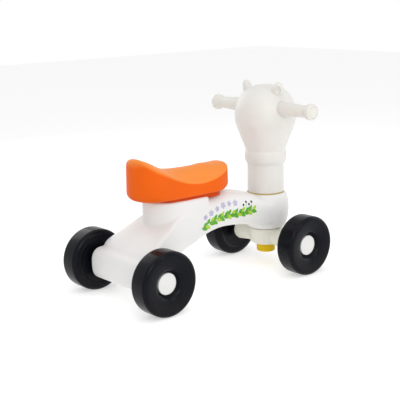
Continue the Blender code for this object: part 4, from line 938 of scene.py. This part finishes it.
head = piece("head_shell", head_shell(), upright())
forms = [piece("muzzle", lump((0.0265, 0.0315, 0.044), 2.5), at_head(0.0375, 0, -0.024, 90, "Y"))]
for side in (1, -1):
    forms.append(piece("ear", lump(EAR_REACH, 2.2, 0.08), ear_seat(side)))
melt_together(head, forms, 0.0012, 22, 4)
cuts = [
    piece("neck_bore", rod(COLUMN_HOLE, NECK_FOOT_Z - 0.01, COLUMN_TOP_Z + 0.004), upright()),
    piece("rod_hole", rod(ROD_HOLE, -0.06, 0.06), crosswise(HANDLE_X, HANDLE_Z)),
]
outline = [(0, 0.010), (0.0025, 0.010), (0.0025, 0.0380), (0.0053, 0.0380), (0.0053, 0.0525),
           (0, 0.0525)]
cuts.append(piece("screw_hole", turned(outline, 48),
                  upright(z=NECK_FOOT_Z + 0.022) @ turn(90, "Y")))
for side in (1, -1):
    cuts.append(piece("handle_socket", rod(0.0168, HANDLE_ROOT_Y - 0.0003, 0.09),
                      crosswise(HANDLE_X, HANDLE_Z, side)))
    cuts.append(piece("eye_socket", rod(0.0078, -0.0043, 0.01, 48), eye_seat(side)))
    cuts.append(piece("ear_dish", lump((0.0056, 0.0070, 0.0098)),
                      ear_seat(side) @ Matrix.Translation((-0.0105, 0, 0.0010))))
    cuts.append(piece("nostril", lump((0.0042, 0.0030, 0.0036)),
                      at_head(0.0795, 0.0105 * side, -0.0150, 25 * side)))
smile = [(FRONT_X + 0.0820 - 0.030 * (t / 10) ** 2 * 0.75, 0.0235 * math.sin(math.pi / 2 * t / 10),
          SKULL_Z - 0.0345 + 0.0075 * (t / 10) ** 2) for t in range(-10, 11)]
cuts.append(tube(smile, 0.0011, "mouth_line"))
collar_line = arc((THROAT_RADIUS, COLLAR_TOP_Z), (0.0006, 0.0006), 0, 330, 11)
cuts.append(piece("collar_line", turned(collar_line, 128, bored=True), upright()))
bore(head, cuts)
dress(head, moulded_plastic("head_ivory", (0.742, 0.726, 0.690), 0.42, haze=0.08,
                            parting=0.0006))
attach(head, "steering")
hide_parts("head")

gloss_black = moulded_plastic("eye_black", (0.010, 0.010, 0.012), 0.10, peel=0.02, waviness=0.0,
                              scuff=0.02)
for side, name in SIDES:
    outline = [(0, -0.0040), (0.0071, -0.0040), (0.0075, -0.0036), (0.0075, 0.0004)]
    outline += arc((0, 0.0004), (0.0075, 0.0030), 6, 90, 14)[:-1] + [(0, 0.0034)]
    eye = piece(f"eye_dome_{name}", turned(outline, 64), eye_seat(side))
    dress(eye, gloss_black)
    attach(eye, "steering")
    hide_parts(f"eye_{name}")

# Handles
# A tapered white grip with a rounded knob on each side of the head, pushed over the steel rod,
# its open end closed by a flush plug with a fine chamfer round it.
HANDLE_END = 0.1580
KNOB_START = HANDLE_END - 0.0215
GRIP_RADIUS = 0.0165
grip_flare = guide((KNOB_START, 0.0132), (KNOB_START + 0.0047, 0.0154),
                   (KNOB_START + 0.0097, 0.0178), (HANDLE_END - 0.0055, 0.0184))
grip_white = moulded_plastic("grip_white", (0.745, 0.730, 0.680), 0.40, scuff=0.08, haze=0.05)
for side, name in SIDES:
    outline = raised(HANDLE_END, (0, -0.028), (ROD_HOLE, -0.028))
    outline += raised(HANDLE_ROOT_Y, (ROD_HOLE, 0), (GRIP_RADIUS - 0.0005, 0),
                      (GRIP_RADIUS, 0.0005))
    outline += [(GRIP_RADIUS - 0.0033 * k / 12, SKULL_RADIUS + (KNOB_START - SKULL_RADIUS) * k / 12)
                for k in range(13)]
    outline += [(grip_flare(KNOB_START + 0.001 * k), KNOB_START + 0.001 * k) for k in range(1, 16)]
    outline += arc((0.0129, HANDLE_END - 0.0055), (0.0055, 0.0055), 0, 84, 12)
    outline += raised(HANDLE_END, (0.0131, 0), (0.0128, -0.0004), (0.0128, -0.0043), (0, -0.0043))
    grip = piece(f"grip_{name}", turned(outline, 96), crosswise(HANDLE_X, HANDLE_Z, side))
    outline = raised(HANDLE_END, (0, -0.0040), (0.0122, -0.0040), (0.0125, -0.0037),
                     (0.0125, -0.0010))
    outline += arc((0.0116, HANDLE_END - 0.0009), (0.0009, 0.0009), 0, 90, 5)
    outline += raised(HANDLE_END, (0.0060, -0.0001), (0, -0.0001))
    plug = piece(f"grip_plug_{name}", turned(outline, 96), crosswise(HANDLE_X, HANDLE_Z, side))
    for thing, solid in ((grip, f"handle_{name}"), (plug, f"handle_plug_{name}")):
        dress(thing, grip_white)
        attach(thing, "steering")
        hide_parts(solid)

# Wheels
# Hollow black mouldings with a satin tread, rounded shoulders and a dished outer face; each turns
# on its axle and carries a white snap-in hub cap in its middle.
WHEEL_Y = 0.1225
WHEEL_RADIUS = 0.0675
WHEEL_HALF = 0.024
CAP_FACE = 0.0118
CAP_FLOOR = 0.0046
RIM = WHEEL_RADIUS - 0.012
FACE_RIM = WHEEL_RADIUS - 0.0085
AXLE_FIT = 0.00406
HUB_RADIUS = 0.0150             # of the sleeve that runs inwards along the axle
CAP_SEAT = 0.0227


def wheel_profile():
    """Closed profile as (radius, distance outboard of the mid plane)."""
    outline = [(AXLE_FIT, -0.0304), (HUB_RADIUS - 0.0005, -0.0304), (HUB_RADIUS, -0.0299)]
    outline += [(HUB_RADIUS, -0.0212), (HUB_RADIUS + 0.0008, -0.0206)]
    outline += [(0.0165 + (RIM - 0.0225) * k / 8, -0.0204 - 0.0028 * (k / 8) ** 2)
                for k in range(1, 8)]
    outline += arc((RIM - 0.0052, -WHEEL_HALF + 0.0009), (0.0009, 0.0009), 200, 270, 4)
    outline += arc((RIM, -WHEEL_HALF + 0.010), (0.012, 0.010), -90, 0, 20)
    outline += arc((FACE_RIM, WHEEL_HALF - 0.0078), (0.0085, 0.0078), 0, 90, 20)
    for k in range(1, 29):
        share = k / 28
        outline.append((FACE_RIM - 0.0330 * share,
                        WHEEL_HALF - 0.0145 * (0.45 * share ** 1.5 + 0.55 * share ** 11)))
    outline += [(0.0249, 0.0090), (0.0236, 0.0086), (0.0229, 0.0082), (CAP_SEAT, 0.0078)]
    return outline + [(CAP_SEAT, CAP_FLOOR), (AXLE_FIT, CAP_FLOOR)]


def cap_profile():
    """Cup that snaps into the wheel, its closed face slightly crowned."""
    outline = raised(CAP_FACE, (0, -0.0016), (0.0096, -0.0016))
    outline += raised(CAP_FLOOR, (0.0096, 0.0003), (0.0224, 0.0003))
    outline.append((0.0224, CAP_FACE - 0.0010))
    outline += arc((0.0214, CAP_FACE - 0.0010), (0.0010, 0.0010), 10, 90, 6)
    return outline + raised(CAP_FACE, (0.0190, 0.0001), (0.0120, 0.0003), (0, 0.0004))


black = moulded_plastic("wheel_black", (0.0034, 0.0039, 0.0066), 0.23, peel=0.08, waviness=0.1,
                        scuff=0.0, dust=0.02, sheen=0.11, edge_tint=1.4)
cap_white = moulded_plastic("cap_white", (0.765, 0.760, 0.742), 0.36)
for end, x in (("rear", REAR_X), ("front", FRONT_X)):
    for side, name in SIDES:
        place = crosswise(x, AXLE_Z, side, WHEEL_Y * side)
        wheel = piece(f"tyre_{end}_{name}", turned(wheel_profile(), 128, bored=True), place, 50)
        cap = piece(f"cap_{end}_{name}", turned(cap_profile(), 96), place)
        for thing, solid, paint, place_name in (
            (wheel, f"wheel_{end}_{name}", black, "wheel_black"),
            (cap, f"hub_cap_{end}_{name}", cap_white, "hub_cap_white"),
        ):
            dress(thing, paint)
            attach(thing, f"{end}_{name}_wheel")
            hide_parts(solid)

# Studio
# Plain pale floor and white surround, broad soft lamps overhead and at the sides, and the
# camera at the photograph's place.
CAMERA_TURN = math.radians(-40.2112)
CAMERA_TILT = math.radians(12.8404)
CAMERA_ROLL = math.radians(-1.2167)
CAMERA_DISTANCE = 2.04
CAMERA_LENS = 83.534
CAMERA_AIM = (-0.0065, 0, 0.1837)
FLOOR_LIFT = 0.50               # light that the floor gives off


def place_camera():
    back = Vector((math.sin(CAMERA_TURN) * math.cos(CAMERA_TILT),
                   -math.cos(CAMERA_TURN) * math.cos(CAMERA_TILT), math.sin(CAMERA_TILT)))
    right = (-back).cross(Vector((0, 0, 1))).normalized()
    up = right.cross(-back)
    rolled_right = right * math.cos(CAMERA_ROLL) + up * math.sin(CAMERA_ROLL)
    rolled_up = up * math.cos(CAMERA_ROLL) - right * math.sin(CAMERA_ROLL)
    placing = Matrix((rolled_right, rolled_up, back)).transposed().to_4x4()
    placing.translation = Vector(CAMERA_AIM) + back * CAMERA_DISTANCE
    lens = bpy.data.cameras.new("camera")
    lens.lens = CAMERA_LENS
    lens.sensor_width = 36
    camera = show("camera", lens)
    camera.matrix_world = placing
    bpy.context.scene.camera = camera


def soft_lamp(name, place, aim, size, power):
    lamp = bpy.data.lights.new(name, "AREA")
    lamp.shape = "RECTANGLE"
    lamp.size, lamp.size_y = size
    lamp.energy = power
    holder = show(name, lamp)
    holder.location = place
    holder.rotation_euler = (Vector(aim) - Vector(place)).to_track_quat("-Z", "Y").to_euler()


def surround(strength):
    """Grey light from all round; the camera and mirrors see it white."""
    world = bpy.data.worlds.new("surround")
    world.use_nodes = True
    tree = world.node_tree
    tree.nodes.clear()
    white = (1, 1, 1, 1)
    seen = node(tree, "Background", white, 1.0)
    lit = node(tree, "Background", white, strength)
    ray = node(tree, "LightPath").outputs
    white_ray = ray["Is Camera Ray"]
    for kind in ("Is Transmission Ray", "Is Glossy Ray"):
        white_ray = node(tree, "Math", white_ray, ray[kind], operation="MAXIMUM")
    mix = node(tree, "MixShader", white_ray, lit, seen)
    node(tree, "OutputWorld", mix)
    bpy.context.scene.world = world


def pale_floor():
    """A wide sheet of pale board lit from beneath as well, so that shadows stay soft and light."""
    bm = bmesh.new()
    bmesh.ops.create_grid(bm, x_segments=40, y_segments=40, size=6.0)
    floor = piece("floor", bm, Matrix.Translation((0, 0, -0.0002)))
    board, tree, shader = new_material("pale_board")
    fibres = node(tree, "TexNoise", Scale=180.0, Detail=3.0)
    paper = ramp(tree, fibres, (0.3, [0.695] * 3), (0.7, [0.705] * 3))
    wire(shader, Roughness=0.9, Specular_IOR_Level=0.1, Base_Color=paper)
    glow = node(tree, "Emission", (1, 1, 1, 1), FLOOR_LIFT)
    total = node(tree, "AddShader", shader, glow)
    wire(tree.nodes["Material Output"], total)
    dress(floor, board)


place_camera()
surround(0.60)
pale_floor()
soft_lamp("overhead", (-0.2, -0.3, 1.9), (0, 0, 0.1), (2.0, 2.0), 9.7)
soft_lamp("key", (0.45, -1.75, 0.92), (0, 0, 0.12), (0.18, 0.18), 2.6)
soft_lamp("beside_camera", (-0.9, -1.6, 1.2), (0, 0, 0.15), (0.9, 0.9), 8.8)
soft_lamp("front", (1.8, -0.8, 0.8), (0, 0, 0.2), (1.2, 1.2), 3.4)
soft_lamp("far_side", (0.0, 1.8, 0.9), (0, 0, 0.2), (1.2, 1.2), 6.5)
bpy.context.scene.view_settings.view_transform = "Standard"
